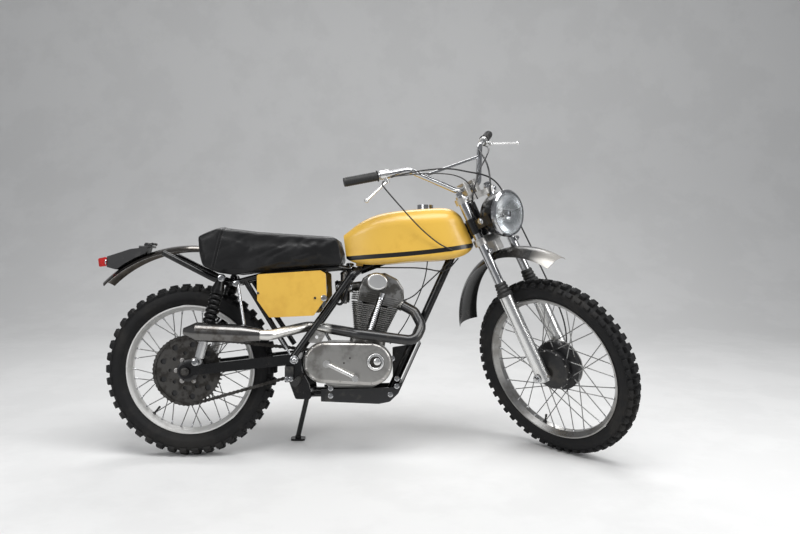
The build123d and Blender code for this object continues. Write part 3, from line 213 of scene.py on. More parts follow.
# Name, clean colour, worn colour, worn share, patches per metre, metal, gloss, dull, grain, bump, coat
SURFACES = (
    ("ochre_paint", OCHRE, OCHRE_WORN, 0.4, 5, 0.0, 0.24, 0.36, 700, 0.03, 0.6),
    ("black_paint", (0.006, 0.006, 0.0065), (0.020, 0.018, 0.016), 0.15, 22, 0.0, 0.14, 0.30, 500, 0.05, 0.2),
    ("black_satin", (0.012, 0.012, 0.013), (0.04, 0.038, 0.034), 0.25, 20, 0.0, 0.26, 0.45, 500, 0.08, 0.2),
    ("cast_alloy", (0.46, 0.45, 0.43), (0.24, 0.23, 0.215), 0.5, 4, 0.95, 0.20, 0.38, 900, 0.12),
    ("polished_alloy", (0.74, 0.74, 0.73), (0.66, 0.655, 0.64), 0.3, 5, 1.0, 0.20, 0.30, 600, 0.04),
    ("dark_alloy", (0.045, 0.044, 0.043), (0.09, 0.084, 0.076), 0.4, 24, 0.6, 0.34, 0.55, 700, 0.2),
    ("chrome", (0.50, 0.505, 0.515), (0.30, 0.285, 0.26), 0.12, 70, 1.0, 0.05, 0.16, 500, 0.02),
    ("steel", (0.40, 0.39, 0.38), (0.20, 0.18, 0.16), 0.35, 40, 0.95, 0.26, 0.46, 600, 0.1),
    ("rubber", (0.013, 0.013, 0.013), (0.032, 0.031, 0.029), 0.3, 30, 0.0, 0.42, 0.7, 700, 0.2),
    ("tyre", (0.008, 0.008, 0.0085), (0.017, 0.016, 0.015), 0.35, 7, 0.0, 0.46, 0.70, 600, 0.25),
    ("vinyl", (0.0055, 0.0055, 0.006), (0.010, 0.010, 0.0105), 0.3, 14, 0.0, 0.27, 0.42, 2200, 0.12),
    ("red_lens", (0.42, 0.010, 0.008), (0.25, 0.01, 0.008), 0.3, 40, 0.0, 0.06, 0.16, 400, 0.03, 0.5),
    ("black_plastic", (0.014, 0.014, 0.015), (0.03, 0.03, 0.03), 0.3, 30, 0.0, 0.35, 0.55, 700, 0.12),
    ("clear_glass", (0.97, 0.985, 0.995), (0.94, 0.955, 0.965), 0.2, 30, 0.0, 0.10, 0.18, 300, 0.02),
    ("dark_steel", (0.075, 0.072, 0.068), (0.035, 0.032, 0.029), 0.45, 26, 0.8, 0.34, 0.55, 700, 0.15),
    ("black_rubber_cable", (0.011, 0.011, 0.012), (0.028, 0.027, 0.026), 0.25, 60, 0.0, 0.32, 0.5, 900, 0.08),
    ("thread", (0.045, 0.045, 0.047), (0.09, 0.088, 0.085), 0.4, 300, 0.0, 0.6, 0.8, 3000, 0.2),
    ("bulb_glass", (0.98, 0.97, 0.94), (0.92, 0.90, 0.86), 0.3, 60, 0.0, 0.02, 0.08, 400, 0.01),
    ("silencer_finish", (0.17, 0.165, 0.16), (0.09, 0.082, 0.074), 0.35, 14, 1.0, 0.14, 0.26, 500, 0.03),
    ("clamp_alloy", (0.56, 0.55, 0.53), (0.40, 0.39, 0.37), 0.35, 20, 0.95, 0.24, 0.4, 700, 0.1),
    ("mirror", (0.95, 0.96, 0.97), (0.88, 0.885, 0.89), 0.15, 25, 0.9, 0.20, 0.28, 300, 0.01),
    ("bright_rim", (0.72, 0.715, 0.70), (0.60, 0.59, 0.57), 0.3, 6, 0.6, 0.34, 0.44, 600, 0.03),
    ("dull_rim", (0.36, 0.355, 0.345), (0.24, 0.232, 0.22), 0.35, 7, 1.0, 0.18, 0.34, 600, 0.05),
)
surfaces = {row[0]: surface(*row) for row in SURFACES}
for name, socket, value in (
    ("clear_glass", "Transmission Weight", 1.0), ("clear_glass", "IOR", 1.45),
    ("bulb_glass", "Transmission Weight", 1.0), ("bulb_glass", "IOR", 1.45),
    ("vinyl", "Sheen Weight", 0.04), ("vinyl", "Sheen Roughness", 0.4), ("vinyl", "Specular IOR Level", 0.28),
    ("black_paint", "Specular IOR Level", 0.35), ("tyre", "Specular IOR Level", 0.22),
):
    surfaces[name].shader.inputs[socket].default_value = value
print(len(surfaces), "surfaces")

# %% [markdown]
# Some surfaces change across one piece. The tank's paint has a black stripe along each side. The fins
# are bright along their edges, partly rubbed wear and partly a painted highlight, and the rear
# mudguard's bright edges are a painted highlight. The head has a bright cover, the exhaust pipe is black
# with a bright rear length, and each hub's drum differs from its spokes. The shock absorbers are black
# above, and the front mudguard's front part is lighter with a painted reflection. Each is a mask of
# places in the object's own coordinates, so it stays put from any side.

# %% Masks
STRIPE_HEIGHT = 16.8
STRIPE_START = 681.0


def stripe(graph):
    """One between two lines along the tank: straight at the rear, rising towards the front."""
    x = graph.maths("SUBTRACT", graph.along(forward, ground), STRIPE_START)
    z = graph.along(upward, ground)
    cube = graph.maths("MULTIPLY", graph.maths("MULTIPLY", x, x), x)
    line = graph.maths("MULTIPLY_ADD", cube, 3.1e-7, 763.1)
    line = graph.maths("MULTIPLY_ADD", x, 0.075, line)
    down = graph.maths("SUBTRACT", line, z)
    above = graph.span(down, STRIPE_HEIGHT - 0.4, STRIPE_HEIGHT + 0.4, 1.0, 0.0)
    return graph.maths("MULTIPLY", graph.span(down, -0.4, 0.4), above)


# A mask of sharp edges. It carries the fins' rubbed wear and painted highlight, and the rear mudguard's painted
# highlight.
def sharp_edge_mask(graph, radius, low=0.06, high=0.25):
    """One where the surface turns sharply within the radius, in metres."""
    bevel = graph.add("ShaderNodeBevel", {"Radius": radius}, samples=4).outputs["Normal"]
    flat = graph.add("ShaderNodeNewGeometry").outputs["Normal"]
    return graph.span(graph.maths("SUBTRACT", 1.0, graph.vectors("DOT_PRODUCT", bevel, flat)["Value"]), low, high)


# Rubbed wear and painted highlight: the fins' sharp edges are coloured bright.
def fin_edge_wear_and_highlight(graph):
    return sharp_edge_mask(graph, 0.0018, 0.04, 0.2)


# Painted highlight: the rear mudguard's sharp lip edges are coloured bright, standing for the light along them.
def guard_edge_highlight(graph):
    return sharp_edge_mask(graph, 0.0022)


def dome_top(graph):
    """One over the bright rocker cover, an oval of 42 by 34 mm on the head's right face."""
    far = []
    for direction, centre, reach in ((forward, 700.0, 42), (upward, 664.0, 34)):
        away = graph.maths("SUBTRACT", graph.along(direction, ground), centre)
        far.append(graph.maths("MULTIPLY", away, graph.maths("MULTIPLY", away, 1 / reach ** 2)))
    near = graph.span(graph.maths("ADD", *far), 0.95, 1.15, 1.0, 0.0)
    return graph.maths("MULTIPLY", near, graph.span(graph.along(side, ground), -72.0, -66.0, 1.0, 0.0))


def rear_length(graph):
    """One along the exhaust pipe's rear length."""
    return graph.span(graph.along(forward, ground), 516.0, 540.0, 1.0, 0.0)


def outside_drum(graph, centre, axis, radius):
    """One where the distance from the wheel's axle is more than the drum's radius."""
    shift = graph.vectors("SUBTRACT", graph.point, centre)[0]
    reach = graph.vectors("LENGTH", graph.vectors("CROSS_PRODUCT", shift, axis)[0])["Value"]
    return graph.span(reach, radius, radius + 0.001)


def front_spokes(graph):
    return outside_drum(graph, front_centre, wheel_side, 0.100)


def rear_spokes(graph):
    return outside_drum(graph, rear_centre, side, 0.084)


def spring_height(graph):
    """One over the shock absorbers' springs and covers, above their lower bodies."""
    return graph.span(graph.along(upward, ground), 470.0, 474.0)


def guard_tip_reflection(graph):
    """One over the front mudguard's front part, which is lighter as a painted reflection."""
    return graph.span(graph.along(fork_ahead, front_centre), 150.0, 205.0)


# %% Surfaces with a mask
# Node, name, mask, colour where the mask is one, then as in SURFACES from the clean colour on
MASKED = (
    ("fuel_tank", "tank_paint", stripe, (0.004, 0.004, 0.0045),
     OCHRE, OCHRE_WORN, 0.4, 5, 0.0, 0.24, 0.36, 700, 0.03, 0.25),
    # The fins' bright edge colour is partly rubbed wear and partly a painted highlight.
    ("cylinder_barrel", "fin_alloy", fin_edge_wear_and_highlight, (0.80, 0.79, 0.77),
     (0.13, 0.127, 0.12), (0.06, 0.057, 0.052), 0.4, 24, 0.85, 0.34, 0.5, 700, 0.2),
    ("cylinder_head", "head_alloy", dome_top, (0.74, 0.74, 0.73),
     (0.36, 0.355, 0.345), (0.13, 0.125, 0.115), 0.5, 16, 0.9, 0.20, 0.38, 700, 0.14),
    ("exhaust_header", "pipe_finish", rear_length, (0.70, 0.69, 0.66),
     (0.010, 0.010, 0.011), (0.035, 0.032, 0.028), 0.25, 20, 0.0, 0.22, 0.36, 500, 0.05, 0.3),
    ("front_hub", "front_hub_finish", front_spokes, (0.26, 0.26, 0.255),
     (0.016, 0.016, 0.017), (0.035, 0.033, 0.03), 0.3, 14, 0.35, 0.26, 0.42, 600, 0.1),
    ("rear_hub", "rear_hub_finish", rear_spokes, (0.22, 0.22, 0.215),
     (0.24, 0.235, 0.225), (0.15, 0.14, 0.13), 0.4, 14, 0.95, 0.28, 0.42, 700, 0.1),
    ("rear_shocks", "shock_finish", spring_height, (0.012, 0.012, 0.012),
     (0.60, 0.60, 0.60), (0.40, 0.38, 0.36), 0.2, 30, 0.6, 0.16, 0.30, 600, 0.05),
    # The rear mudguard's bright edge colour is a painted highlight.
    ("rear_mudguard", "rear_guard_finish", guard_edge_highlight, (0.60, 0.59, 0.57),
     (0.10, 0.085, 0.07), (0.05, 0.042, 0.034), 0.4, 7, 1.0, 0.08, 0.2, 500, 0.03, 0.3),
    # The front mudguard's lighter front part is a painted reflection.
    ("front_mudguard", "front_guard_finish", guard_tip_reflection, (0.34, 0.325, 0.30),
     (0.014, 0.014, 0.014), (0.03, 0.028, 0.026), 0.3, 9, 0.3, 0.16, 0.30, 500, 0.03, 0.2),
)
special = {
    "rear_sprocket": "dark_steel", "footrests": "rubber", "silencer": "silencer_finish",
    "upper_fork_clamp": "clamp_alloy", "lower_fork_clamp": "clamp_alloy",
    "front_rim": "dull_rim", "rear_rim": "bright_rim",
}
for node, name, mask_of, inside, *values in MASKED:
    graph = surfaces[name] = surface(name, *values)
    special[node] = name
    colour = graph.shader.inputs["Base Color"]
    base = colour.links[0].from_socket
    mask = mask_of(graph)
    graph.join(graph.mix(mask, base, inside), colour)
    if node == "exhaust_header":
        graph.join(mask, graph.shader.inputs["Metallic"])
    elif node == "front_hub":
        graph.join(graph.span(mask, 0, 1, 0.35, 1.0), graph.shader.inputs["Metallic"])
print(len(MASKED), "masked surfaces")


# %% Paint the nodes
def paint(obj, look):
    obj.data.materials.clear()
    obj.data.materials.append(surfaces[look].material)


slots = {entry["node"]: entry["material_slot"] for entry in frame["record"]["subparts"]}
for name, obj in nodes.items():
    paint(obj, special.get(name, slots[name]))
print("painted", len(nodes), "nodes")

# %% [markdown]
# Everything below is drawn in millimetres in one of the drawing frames, and then carried to metres
# by that frame's matrix. A piece rides on the body that carries it.

# %% Mesh helpers
made = []


def dress(obj, look, body):
    """Paints a piece, hangs it on the body that carries it, and lists its name among the made pieces."""
    paint(obj, look)
    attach(obj, body)
    made.append(obj.name)


def place(name, work, matrix, look, body, sharp=38.0):
    """Turns a bmesh drawn in millimetres into a finished piece on a body."""
    bmesh.ops.remove_doubles(work, verts=work.verts, dist=1e-4)
    bmesh.ops.recalc_face_normals(work, faces=work.faces)
    mesh = bpy.data.meshes.new(name)
    work.to_mesh(mesh)
    work.free()
    mesh.transform(matrix)
    mesh.shade_smooth()
    mesh.set_sharp_from_angle(angle=math.radians(sharp))
    obj = add_object(name, mesh)
    dress(obj, look, body)
    return obj


def square_to(axis):
    """Two directions at right angles to an axis."""
    axis = Vector(axis).normalized()
    other = Vector((0, 0, 1)) if abs(axis.z) < 0.9 else Vector((1, 0, 0))
    first = axis.cross(other).normalized()
    return first, axis.cross(first).normalized()


def turn(work, profile, origin, axis, steps):
    """Revolves (along, radius) points about an axis. A radius of zero closes the end."""
    origin, axis = Vector(origin), Vector(axis).normalized()
    one, two = square_to(axis)
    rings = []
    for along, radius in profile:
        if radius <= 1e-6:
            rings.append([work.verts.new(origin + axis * along)])
            continue
        ring = []
        for step in range(steps):
            angle = 2 * math.pi * step / steps
            out = one * math.cos(angle) + two * math.sin(angle)
            ring.append(work.verts.new(origin + axis * along + out * radius))
        rings.append(ring)
    for low, high in zip(rings, rings[1:]):
        for step in range(steps):
            after = (step + 1) % steps
            if len(low) == 1 and len(high) == 1:
                continue
            if len(low) == 1:
                work.faces.new((low[0], high[after], high[step]))
            elif len(high) == 1:
                work.faces.new((low[step], low[after], high[0]))
            else:
                work.faces.new((low[step], low[after], high[after], high[step]))


def turned(name, rows, matrix, look, body, sharp=38.0):
    """A piece of turned parts, each a profile, an origin, an axis and a number of steps."""
    work = bmesh.new()
    for row in rows:
        turn(work, *row)
    return place(name, work, matrix, look, body, sharp)


WASHER = ((0, 0), (0, 0.82), (0.1, 0.82), (0.13, 0.76), (0.13, 0))
SCREW_HEAD = ((0, 0.5), (0.18, 0.5), (0.34, 0.34), (0.36, 0.2), (0.28, 0))


def bolt(work, point, axis, size, head=0.6):
    """A hexagon head with a chamfered crown on a thin washer: size is across the flats."""
    radius = size / 2 / math.cos(math.pi / 6)
    turn(work, [(size * along, size * reach) for along, reach in WASHER], point, axis, 20)
    rise = size * 0.12
    top = rise + size * head
    turn(work, [(rise, radius), (top - size * 0.08, radius), (top, radius * 0.86), (top, 0)], point, axis, 6)


def screw(work, point, axis, size):
    """A domed round head with a shallow dimple."""
    turn(work, [(size * along, size * reach) for along, reach in SCREW_HEAD], point, axis, 20)


def box_between(work, low, high):
    """A block with small chamfers."""
    low, high = Vector(low), Vector(high)
    size = high - low
    cube = bmesh.ops.create_cube(work, size=1.0)["verts"]
    bmesh.ops.scale(work, vec=size, verts=cube)
    bmesh.ops.translate(work, vec=(low + high) / 2, verts=cube)
    edges = list({edge for vert in cube for edge in vert.link_edges})
    bmesh.ops.bevel(work, geom=edges, offset=min(size) * 0.18, segments=2, affect="EDGES", profile=0.6)


def cable_line(name, points, radius, matrix):
    """A NURBS line through the frame's millimetre points, as a round curve."""
    data = bpy.data.curves.new(name, "CURVE")
    data.dimensions = "3D"
    data.resolution_u = 12
    spline = data.splines.new("NURBS")
    spline.points.add(len(points) - 1)
    for number, point in enumerate(points):
        spline.points[number].co = (*(matrix @ Vector(point)), 1)
    spline.order_u = 3
    spline.use_endpoint_u = True
    data.bevel_depth = radius / 1000
    data.bevel_resolution = 3
    data.use_fill_caps = True
    return data


def run_of(data):
    """The points that a curve's own line follows, in metres."""
    depth = data.bevel_depth
    data.bevel_depth = 0
    probe = add_object("probe", data)
    bpy.context.view_layer.update()
    line = bpy.data.meshes.new_from_object(probe)
    points = [vert.co.copy() for vert in line.vertices]
    bpy.data.objects.remove(probe)
    bpy.data.meshes.remove(line)
    data.bevel_depth = depth
    return points


print("helpers ready")

# %% [markdown]
# The seat is foam under black vinyl. The cushion starts from the solid seat a little smaller, is
# remeshed evenly, and is inflated as cloth with its base held, so that the top crowns and the sides
# pull in between the edges. Long shallow creases are then pressed into its sides.

# %% Seat cushion
CUSHION_VOXEL = 0.006
CUSHION_CAP = 0.0045
CUSHION_START = (0.996, 0.97, 0.985)


def evaluated(obj):
    graph = bpy.context.evaluated_depsgraph_get()
    return bpy.data.meshes.new_from_object(obj.evaluated_get(graph))


def cushion_mesh(node):
    """The node's mesh, a little smaller about its middle, remeshed in even quads."""
    mesh = node.data.copy()
    mesh.transform(BIKE.inverted())
    xs, ys, zs = ([vert.co[axis] for vert in mesh.vertices] for axis in range(3))
    middle = Vector(((min(xs) + max(xs)) / 2, 0, min(zs)))
    for vert in mesh.vertices:
        vert.co = middle + Vector(share * value for share, value in zip(CUSHION_START, vert.co - middle))
    mesh.transform(BIKE)
    obj = add_object("seat_cushion", mesh)
    remesh = obj.modifiers.new("even", "REMESH")
    remesh.mode = "VOXEL"
    remesh.voxel_size = CUSHION_VOXEL
    bpy.context.view_layer.update()
    even = evaluated(obj)
    obj.modifiers.clear()
    obj.data = even
    return obj


def inflate(obj, held):
    """Cloth with pressure, its held points pinned, and no point moved more than the cap."""
    rest = [vert.co.copy() for vert in obj.data.vertices]
    group = obj.vertex_groups.new(name="held")
    group.add([number for number, point in enumerate(rest) if held(point)], 1.0, "REPLACE")
    cloth = obj.modifiers.new("foam", "CLOTH")
    cloth.settings.use_pressure = True
    cloth.settings.uniform_pressure_force = 4.0
    cloth.settings.vertex_group_mass = "held"
    cloth.settings.effector_weights.gravity = 0
    cloth.settings.quality = 6
    cloth.settings.tension_stiffness = 22
    cloth.settings.compression_stiffness = 22
    cloth.settings.bending_stiffness = 1.2
    cloth.point_cache.frame_start = 1
    cloth.point_cache.frame_end = 20
    for number in range(1, 21):
        bpy.context.scene.frame_set(number)
    swollen = evaluated(obj)
    obj.modifiers.clear()
    for vert, before in zip(swollen.vertices, rest):
        move = vert.co - before
        if move.length > CUSHION_CAP:
            vert.co = before + move.normalized() * CUSHION_CAP
    obj.data = swollen
    bpy.context.scene.frame_set(1)


cushion = cushion_mesh(nodes["seat"])
to_bike = BIKE.inverted()
heights = sorted((to_bike @ vert.co).z for vert in cushion.data.vertices)
SEAT_BASE = heights[0] + 10
inflate(cushion, lambda point: (to_bike @ point).z < SEAT_BASE)


def crease(point):
    """Depth in millimetres of the long soft creases at a point of the seat."""
    flow = Vector((point.x * 0.004 + point.z * 0.006, point.y * 0.004, point.z * 0.022 - point.x * 0.010))
    ridge = 1 - abs(noise.noise(flow)) * 2
    fine = 1 - abs(noise.noise(flow * 2.3 + Vector((7, 3, 1)))) * 2
    gather = math.exp(-((point.x - 400) / 150) ** 2)
    return (0.4 + 1.5 * gather) * max(ridge, 0) ** 3 + (0.15 + 0.5 * gather) * max(fine, 0) ** 3


cushion.data.transform(to_bike)
cushion.data.update()
normals = [vert.normal.copy() for vert in cushion.data.vertices]
for vert, normal in zip(cushion.data.vertices, normals):
    share = min(1.0, abs(normal.y) * 1.2)
    low = min(1.0, max(0.0, (vert.co.z - SEAT_BASE) / 25))
    vert.co -= normal * crease(vert.co) * (0.25 + 0.75 * share) * low
cushion.data.transform(BIKE)
finer = cushion.modifiers.new("finer", "SUBSURF")
finer.levels = finer.render_levels = 1
bpy.context.view_layer.update()
cushion.data = evaluated(cushion)
cushion.modifiers.clear()
cushion.data.shade_smooth()
dress(cushion, "vinyl", "chassis")
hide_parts("seat")
print("cushion", len(cushion.data.vertices), "points")

# %% [markdown]
# The cover's seams are found on the finished cushion: rays in a slanted plane strike its surface,
# a thin welt follows the hits, and short stitches lie beside it.

# %% Seat seams
skin = cushion.data.copy()
skin.transform(to_bike)
skin_tree = BVHTree.FromPolygons(
    [vert.co.copy() for vert in skin.vertices], [tuple(face.vertices) for face in skin.polygons]
)


def round_cushion(foot, head, begin, end, count):
    """Points on the cushion where a slanted plane cuts it, from the right side over the top."""
    foot, head = Vector(foot), Vector(head)
    up = (head - foot).normalized()
    heart = (foot + head) / 2
    points = []
    for step in range(count + 1):
        angle = math.radians(begin + (end - begin) * step / count)
        way_out = Vector((0, -1, 0)) * math.cos(angle) + up * math.sin(angle)
        hit, normal, _, _ = skin_tree.ray_cast(heart + way_out * 400, -way_out)
        if hit is not None:
            points.append((hit, normal, way_out))
    return points


def sweep_tube(work, line, radius, sides=8):
    """A tube along points, with flat caps."""
    rings = []
    for number, point in enumerate(line):
        ahead = line[min(number + 1, len(line) - 1)] - line[max(number - 1, 0)]
        one, two = square_to(ahead)
        angles = [2 * math.pi * k / sides for k in range(sides)]
        rings.append([work.verts.new(point + (one * math.cos(a) + two * math.sin(a)) * radius) for a in angles])
    for low, high in zip(rings, rings[1:]):
        best = min(range(sides), key=lambda k: (high[k].co - low[0].co).length)
        for step in range(sides):
            after = (step + 1) % sides
            work.faces.new((low[step], low[after], high[(after + best) % sides], high[(step + best) % sides]))
    work.faces.new(rings[0])
    work.faces.new(list(reversed(rings[-1])))


seam = round_cushion((103, 0, 717), (135, 0, 850), -38, 218, 150)
work = bmesh.new()
sweep_tube(work, [hit + normal * 0.4 for hit, normal, _ in seam], 1.3, 8)
place("seat_welt", work, BIKE, "vinyl", "chassis")
work = bmesh.new()
for offset in (-6.0, 6.0):
    stitched = round_cushion((103 + offset, 0, 717), (135 + offset, 0, 850), -36, 216, 300)
    for number in range(0, len(stitched) - 2, 3):
        a, b = stitched[number], stitched[number + 2]
        sweep_tube(work, [a[0] - a[1] * 0.2, (a[0] + b[0]) / 2 + a[1] * 0.55, b[0] - b[1] * 0.2], 0.45, 6)
place("seat_stitches", work, BIKE, "thread", "chassis")
print("seam of", len(seam), "points")

# %% [markdown]
# The headlamp is a hollow bowl with a silvered reflector, a bulb and its shield, behind a domed
# glass. The solid frame has them filled in, so these pieces stand for its bowl and lens.

# %% Headlamp
LAMP_TILT = math.radians(16.7)
LAMP_AXIS = Vector((math.cos(LAMP_TILT), 0, -math.sin(LAMP_TILT)))
LAMP_MOUTH = Vector((156, 0, 604))


def lamp_piece(name, profile, look, stands_for=(), steps=72):
    piece = turned(name, [(profile, LAMP_MOUTH, LAMP_AXIS, steps)], FORK, look, "steering", 50)
    if stands_for:
        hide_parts(*stands_for)


BOWL_LINE = [
    (-98, 0), (-98, 18), (-96, 30), (-90, 43), (-82, 54), (-72, 64.5), (-62, 72), (-48, 78),
    (-35, 81.6), (-16, 83.6), (0, 84),
]
BOWL_WALL = 3
inside = [(along + BOWL_WALL, max(radius - BOWL_WALL, 0)) for along, radius in reversed(BOWL_LINE[:-1])]
lamp_piece("lamp_bowl_shell", BOWL_LINE + [(0.2, 81)] + inside, "black_paint", ("headlamp_bowl",))
REFLECTOR_FOCUS = 27.0
dish = []
for step in range(15):
    radius = 12 + (78.2 - 12) * step / 14
    dish.append((radius * radius / (4 * REFLECTOR_FOCUS) - 55.0, radius))
lamp_piece("lamp_reflector", dish + [(2.4, 78.4), (2.6, 77.6)], "mirror")
BULB_LINE = [(-56, 0), (-56, 8), (-46, 8), (-40, 11), (-32, 11.5), (-25, 9), (-21, 0)]
lamp_piece("lamp_bulb", BULB_LINE, "bulb_glass", steps=32)
SHIELD_LINE = [(-16, 13), (-11, 12.4), (-7, 9), (-6, 0), (-7.5, 0), (-8.4, 8.4), (-12, 11.4), (-16, 12)]
lamp_piece("lamp_bulb_shield", SHIELD_LINE, "chrome", steps=36)
GLASS_LINE = [(0.4, 78.5), (12, 78.5), (16.5, 72), (20.4, 58), (23.6, 38), (25.4, 18), (26, 0)]
back = [(along - 2.6, radius * 0.985) for along, radius in reversed(GLASS_LINE[2:])]
glass = GLASS_LINE + back + [(10, 76), (0.4, 76)]
lamp_piece("lamp_glass", glass, "clear_glass", ("headlamp_lens",), steps=96)
work = bmesh.new()
for way_out in (-1, 1):
    strap = [LAMP_MOUTH + LAMP_AXIS * (-14) + Vector((0, way_out * reach, 0)) for reach in (12, 40, 68)]
    sweep_tube(work, [strap[0], strap[1], strap[2] + LAMP_AXIS * 4], 1.1, 6)
place("lamp_shield_straps", work, FORK, "chrome", "steering")
work = bmesh.new()
for way_out in (-1, 1):
    bolt(work, (104, way_out * 88.6, 618), (0, way_out, 0), 15, 0.5)
place("lamp_pivot_bolts", work, FORK, "chrome", "steering")
work = bmesh.new()
lamp_top = LAMP_AXIS.cross(Vector((0, 1, 0)))
screw(work, LAMP_MOUTH + LAMP_AXIS * 9 + lamp_top * 88, lamp_top, 8)
place("lamp_ring_screw", work, FORK, "chrome", "steering")
print("headlamp made")

# %% [markdown]
# A control cable is a round sheath, one smooth NURBS line. Those on the turning fork ride on it.
# The throttle's cable crosses to the tank, so its front run is a plain fixed tube mesh, carried by no
# body. It is drawn in two runs, and the second is carburettor_cable.

# %% Control cables
def control_cable(name, points, radius, matrix, body):
    data = cable_line(name, points, radius, matrix)
    line = run_of(data)
    obj = add_object(name, data)
    dress(obj, "black_rubber_cable", body)


for name, radius, points in (
    ("front_brake_cable", 3.0, [
        (-40, -272, 902), (-12, -252, 896), (60, -196, 872), (98, -112, 842), (104, -40, 806),
        (96, 40, 778), (84, 96, 748), (80, 122, 704), (84, 126, 600), (92, 122, 470),
        (98, 119, 330), (104, 112, 200), (110, 88, 110), (104, 60, 62)]),
    ("clutch_cable", 3.0, [
        (-40, 272, 902), (-14, 250, 896), (52, 190, 870), (88, 108, 836), (90, 40, 800),
        (92, -6, 762), (74, -34, 724), (60, -44, 688), (40, -40, 640)]),
    ("lighting_loom", 3.4, [
        (10, 176, 884), (60, 130, 836), (96, 84, 790), (106, 52, 744), (98, 34, 706), (82, 26, 668)]),
    ("horn_wire", 2.2, [
        (-26, -300, 904), (30, -240, 878), (84, -150, 838), (100, -80, 800), (96, -44, 752), (84, -30, 700)]),
):
    control_cable(name, points, radius, FORK, "steering")

THROTTLE_RADIUS = 2.6
throttle_points = [
    (730, -150, 1030), (722, -166, 1020), (742, -172, 994), (792, -166, 938), (862, -154, 862),
    (922, -143, 812), (960, -131, 790), (985, -119, 782),
]
throttle_run = run_of(cable_line("throttle_cable_line", throttle_points, THROTTLE_RADIUS, BIKE))
work = bmesh.new()
sweep_tube(work, throttle_run, THROTTLE_RADIUS / 1000, 10)
mesh = bpy.data.meshes.new("throttle_cable")
work.to_mesh(mesh)
work.free()
mesh.shade_smooth()
throttle_cable = add_object("throttle_cable", mesh)
paint(throttle_cable, "black_rubber_cable")
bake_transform(throttle_cable)
made.append("throttle_cable")
for name, radius, points in (
    ("carburettor_cable", 2.6, [
        (1012, -66, 752), (1000, -58, 738), (982, -56, 716), (950, -44, 700), (880, -30, 716),
        (780, -20, 716), (660, -12, 716), (600, -8, 712), (584, -8, 688)]),
    ("decompressor_cable", 2.4, [
        (984, -50, 742), (930, -52, 690), (884, -54, 648), (838, -56, 600), (800, -52, 590)]),
    ("dynamo_wire", 2.2, [
        (900, 18, 748), (896, 20, 700), (880, 22, 640), (846, 26, 560), (800, 40, 470), (756, 52, 420)]),
    ("breather_hose", 5.0, [
        (612, -60, 664), (600, -62, 650), (590, -64, 618), (580, -64, 584), (566, -62, 574),
        (552, -58, 584), (548, -52, 612)]),
    ("fuel_pipe", 4.0, [
        (604, -52, 722), (604, -50, 706), (596, -44, 688), (590, -34, 668), (584, -30, 648)]),
):
    control_cable(name, points, radius, BIKE, "chassis")
print("cables", [name for name in made if "cable" in name or "loom" in name])

# %% [markdown]
# A spoke ends in a nipple: a small square-shouldered nut that stands on the inside of the rim. There
# are 36 in each wheel, placed by the same angles as the spokes, and one valve.

# %% Nipples and valves
SPOKES_A_SIDE = 18
WHEELS = {
    "rear_wheel": (BIKE @ Matrix.Translation((0, 0, 325)), 243.5, ((-36, 50, 60), (36, 80, 40))),
    "front_wheel": (FORK @ Matrix.Translation((55, 0, 0)), 281.5, ((-26, 76, 40), (20, 96, 40))),
}


def spoke_ends(rim_radius, flanges):
    """The rim end and the direction towards the hub of each spoke."""
    reach = rim_radius - 21.6
    step = 2 * math.pi / SPOKES_A_SIDE
    for index, (y, flange, crossing) in enumerate(flanges):
        for number in range(SPOKES_A_SIDE):
            lead = 1 if number % 2 else -1
            rim_angle = step * number + step / 2 * index
            hub_angle = rim_angle + lead * math.radians(crossing)
            end = Vector((reach * math.cos(rim_angle), 0.14 * y, reach * math.sin(rim_angle)))
            start = Vector((flange * math.cos(hub_angle), y + lead * 4, flange * math.sin(hub_angle)))
            yield end, (start - end).normalized(), start


NIPPLE = [(-1.4, 0), (-1.4, 4.6), (0.6, 4.6), (1.6, 3.1), (11, 2.9), (12.4, 2.2), (12.4, 0)]
SPOKE_HEAD = [(-3, 0), (-3, 2.6), (0, 3.6), (2.4, 2.8), (3.4, 0)]
VALVE = [(-3, 0), (-3, 8), (2, 8), (3, 6.2), (3, 3.6), (24, 3.6), (24, 4.4), (34, 4.4), (35, 3), (35, 0)]
VALVE_ANGLE = math.radians(230)
for body, (matrix, rim_radius, flanges) in WHEELS.items():
    spokes = list(spoke_ends(rim_radius, flanges))
    rows = [(NIPPLE, end, inward, 10) for end, inward, start in spokes]
    turned(body + "_nipples", rows, matrix, "chrome", body)
    rows = [(SPOKE_HEAD, start - inward * 1.0, inward, 10) for end, inward, start in spokes]
    turned(body + "_spoke_heads", rows, matrix, "steel", body)
    reach = rim_radius - 20
    foot = Vector((reach * math.cos(VALVE_ANGLE), 0, reach * math.sin(VALVE_ANGLE)))
    turned(body + "_valve", [(VALVE, foot, -foot, 16)], matrix, "rubber", body)
print("nipples and valves made")

# %% [markdown]
# The knobbly tyres are turned as one smooth carcass with fine ribs on the sidewall, and each knob is
# a block with a spread foot and a rounded top. Each row has a centre knob, and a shoulder knob that
# leans out at each side.

# %% Tyres
KNOB_RISE = 12.0


def smooth_line(points, parts=6):
    """A Catmull-Rom line through two-number points."""
    out = []
    for number in range(len(points) - 1):
        p = [points[max(number - 1, 0)], points[number], points[number + 1], points[min(number + 2, len(points) - 1)]]
        for part in range(parts):
            t = part / parts
            out.append(tuple(
                0.5 * (2 * b + (c - a) * t + (2 * a - 5 * b + 4 * c - d) * t * t + (3 * b - a - 3 * c + d) * t ** 3)
                for a, b, c, d in zip(*p)
            ))
    return out + [points[-1]]


